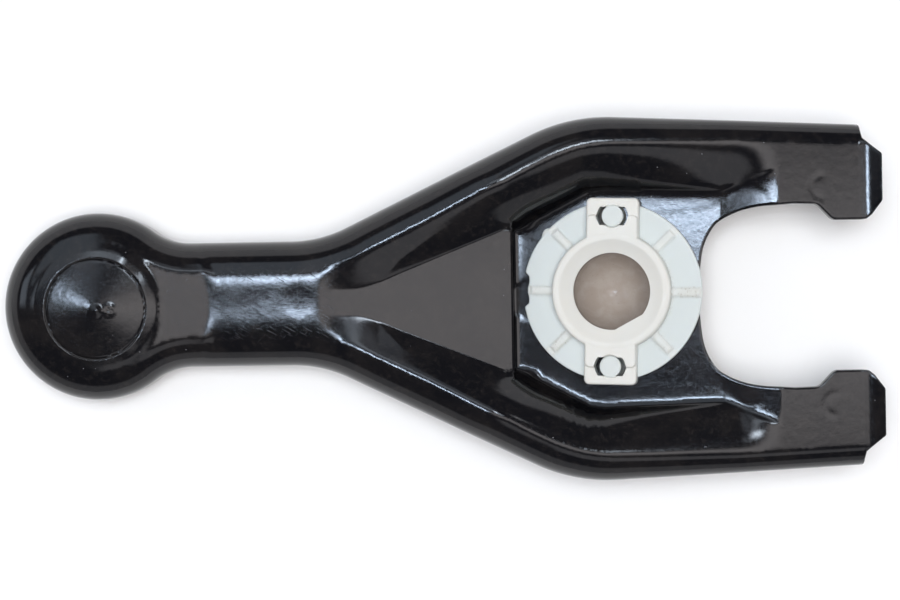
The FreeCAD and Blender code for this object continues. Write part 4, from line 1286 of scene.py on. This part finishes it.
# walls of a light tent: pale low down, dark above
wall = w.ramp(rr, 1.7, 2.3, 0.0, 1.0)
side_f = w.ramp(ry, -1.2, 0.6, 0.55, 1.0)
wallc = w.math("MULTIPLY", wall, side_f)
n_ = w.new("ShaderNodeMix", data_type="RGBA")
w.put(n_.inputs[0], wallc)
n_.inputs[6].default_value = (0.10, 0.10, 0.12, 1)
n_.inputs[7].default_value = (1.0, 1.0, 1.05, 1)
total = n_.outputs[2]
for args in (
    # dim ceiling over the lever
    (-0.150, 0.24, -0.075, 0.065, 0.03, 0.05, (1.0, 0.955, 0.965), 2.3),
    (-0.36, -0.150, -0.004, 0.04, 0.05, 0.016, (0.80, 0.90, 1.0), 0.8),
    # cool strip light
    (-0.275, -0.180, 0.029, 0.064, 0.018, 0.012, (0.66, 0.80, 1.0), 48.0),
    (-0.62, -0.14, 0.10, 0.75, 0.06, 0.08, (0.74, 0.86, 1.0), 1.0),
    (-1.3, -0.75, 0.03, 0.40, 0.05, 0.03, (0.75, 0.86, 1.0), 1.9),
    # key lights to the far side
    (-0.025, 0.035, 0.115, 0.22, 0.02, 0.02, (0.78, 0.88, 1.0), 24.0),
    (-0.10, 0.02, 0.28, 0.43, 0.03, 0.03, (0.8, 0.88, 1.0), 0.8),
    (-0.19, -0.05, 0.18, 0.27, 0.03, 0.03, (0.78, 0.88, 1.0), 2.6),
    (0.30, 0.46, 0.24, 0.42, 0.03, 0.04, (0.95, 0.97, 1.0), 3.5),
    # faint fill from the near side
    (-0.15, 0.30, -0.58, -0.24, 0.06, 0.04, (0.97, 0.96, 1.0), 0.8),
):
    total = plus(total, patch(*args))
w.put(bg.inputs["Color"], total)
bg.inputs["Strength"].default_value = 1.0


def lamp(name, loc, aim, size, power, colour=(1, 1, 1)):
    li = bpy.data.lights.new(name, "AREA")
    li.shape = "DISK"
    li.size = size
    li.energy = power
    li.color = colour
    ob = bpy.data.objects.new(name, li)
    ob.location = loc
    d_ = Vector(aim) - Vector(loc)
    ob.rotation_mode = "QUATERNION"
    ob.rotation_quaternion = d_.to_track_quat("-Z", "Y")
    bpy.context.scene.collection.objects.link(ob)
    ob.visible_camera = False
    return ob


fill = lamp("overhead_fill", (-0.03, 0.0, 1.6), (-0.03, 0, 0), 1.1, 20.6)
fill.visible_glossy = False

# ------------------------------------------------------------------ camera
cam_d = bpy.data.cameras.new("camera")
cam_d.lens = 92.0
cam_d.sensor_width = 36.0
cam_d.clip_start, cam_d.clip_end = 0.01, 20
cam = bpy.data.objects.new("camera", cam_d)
bpy.context.scene.collection.objects.link(cam)
cam.location = to_row((-35.2, 0.22, 17.6 + 504.4))
cam.rotation_euler = (0, 0, math.radians(-0.905))
bpy.context.scene.camera = cam
bpy.context.scene.view_settings.view_transform = "Standard"
bpy.context.scene.view_settings.look = "None"
bpy.context.scene.view_settings.exposure = 0.0

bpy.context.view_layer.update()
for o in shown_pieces():
    o.data.calc_loop_triangles()
    print("piece", o.name, "triangles", len(o.data.loop_triangles))
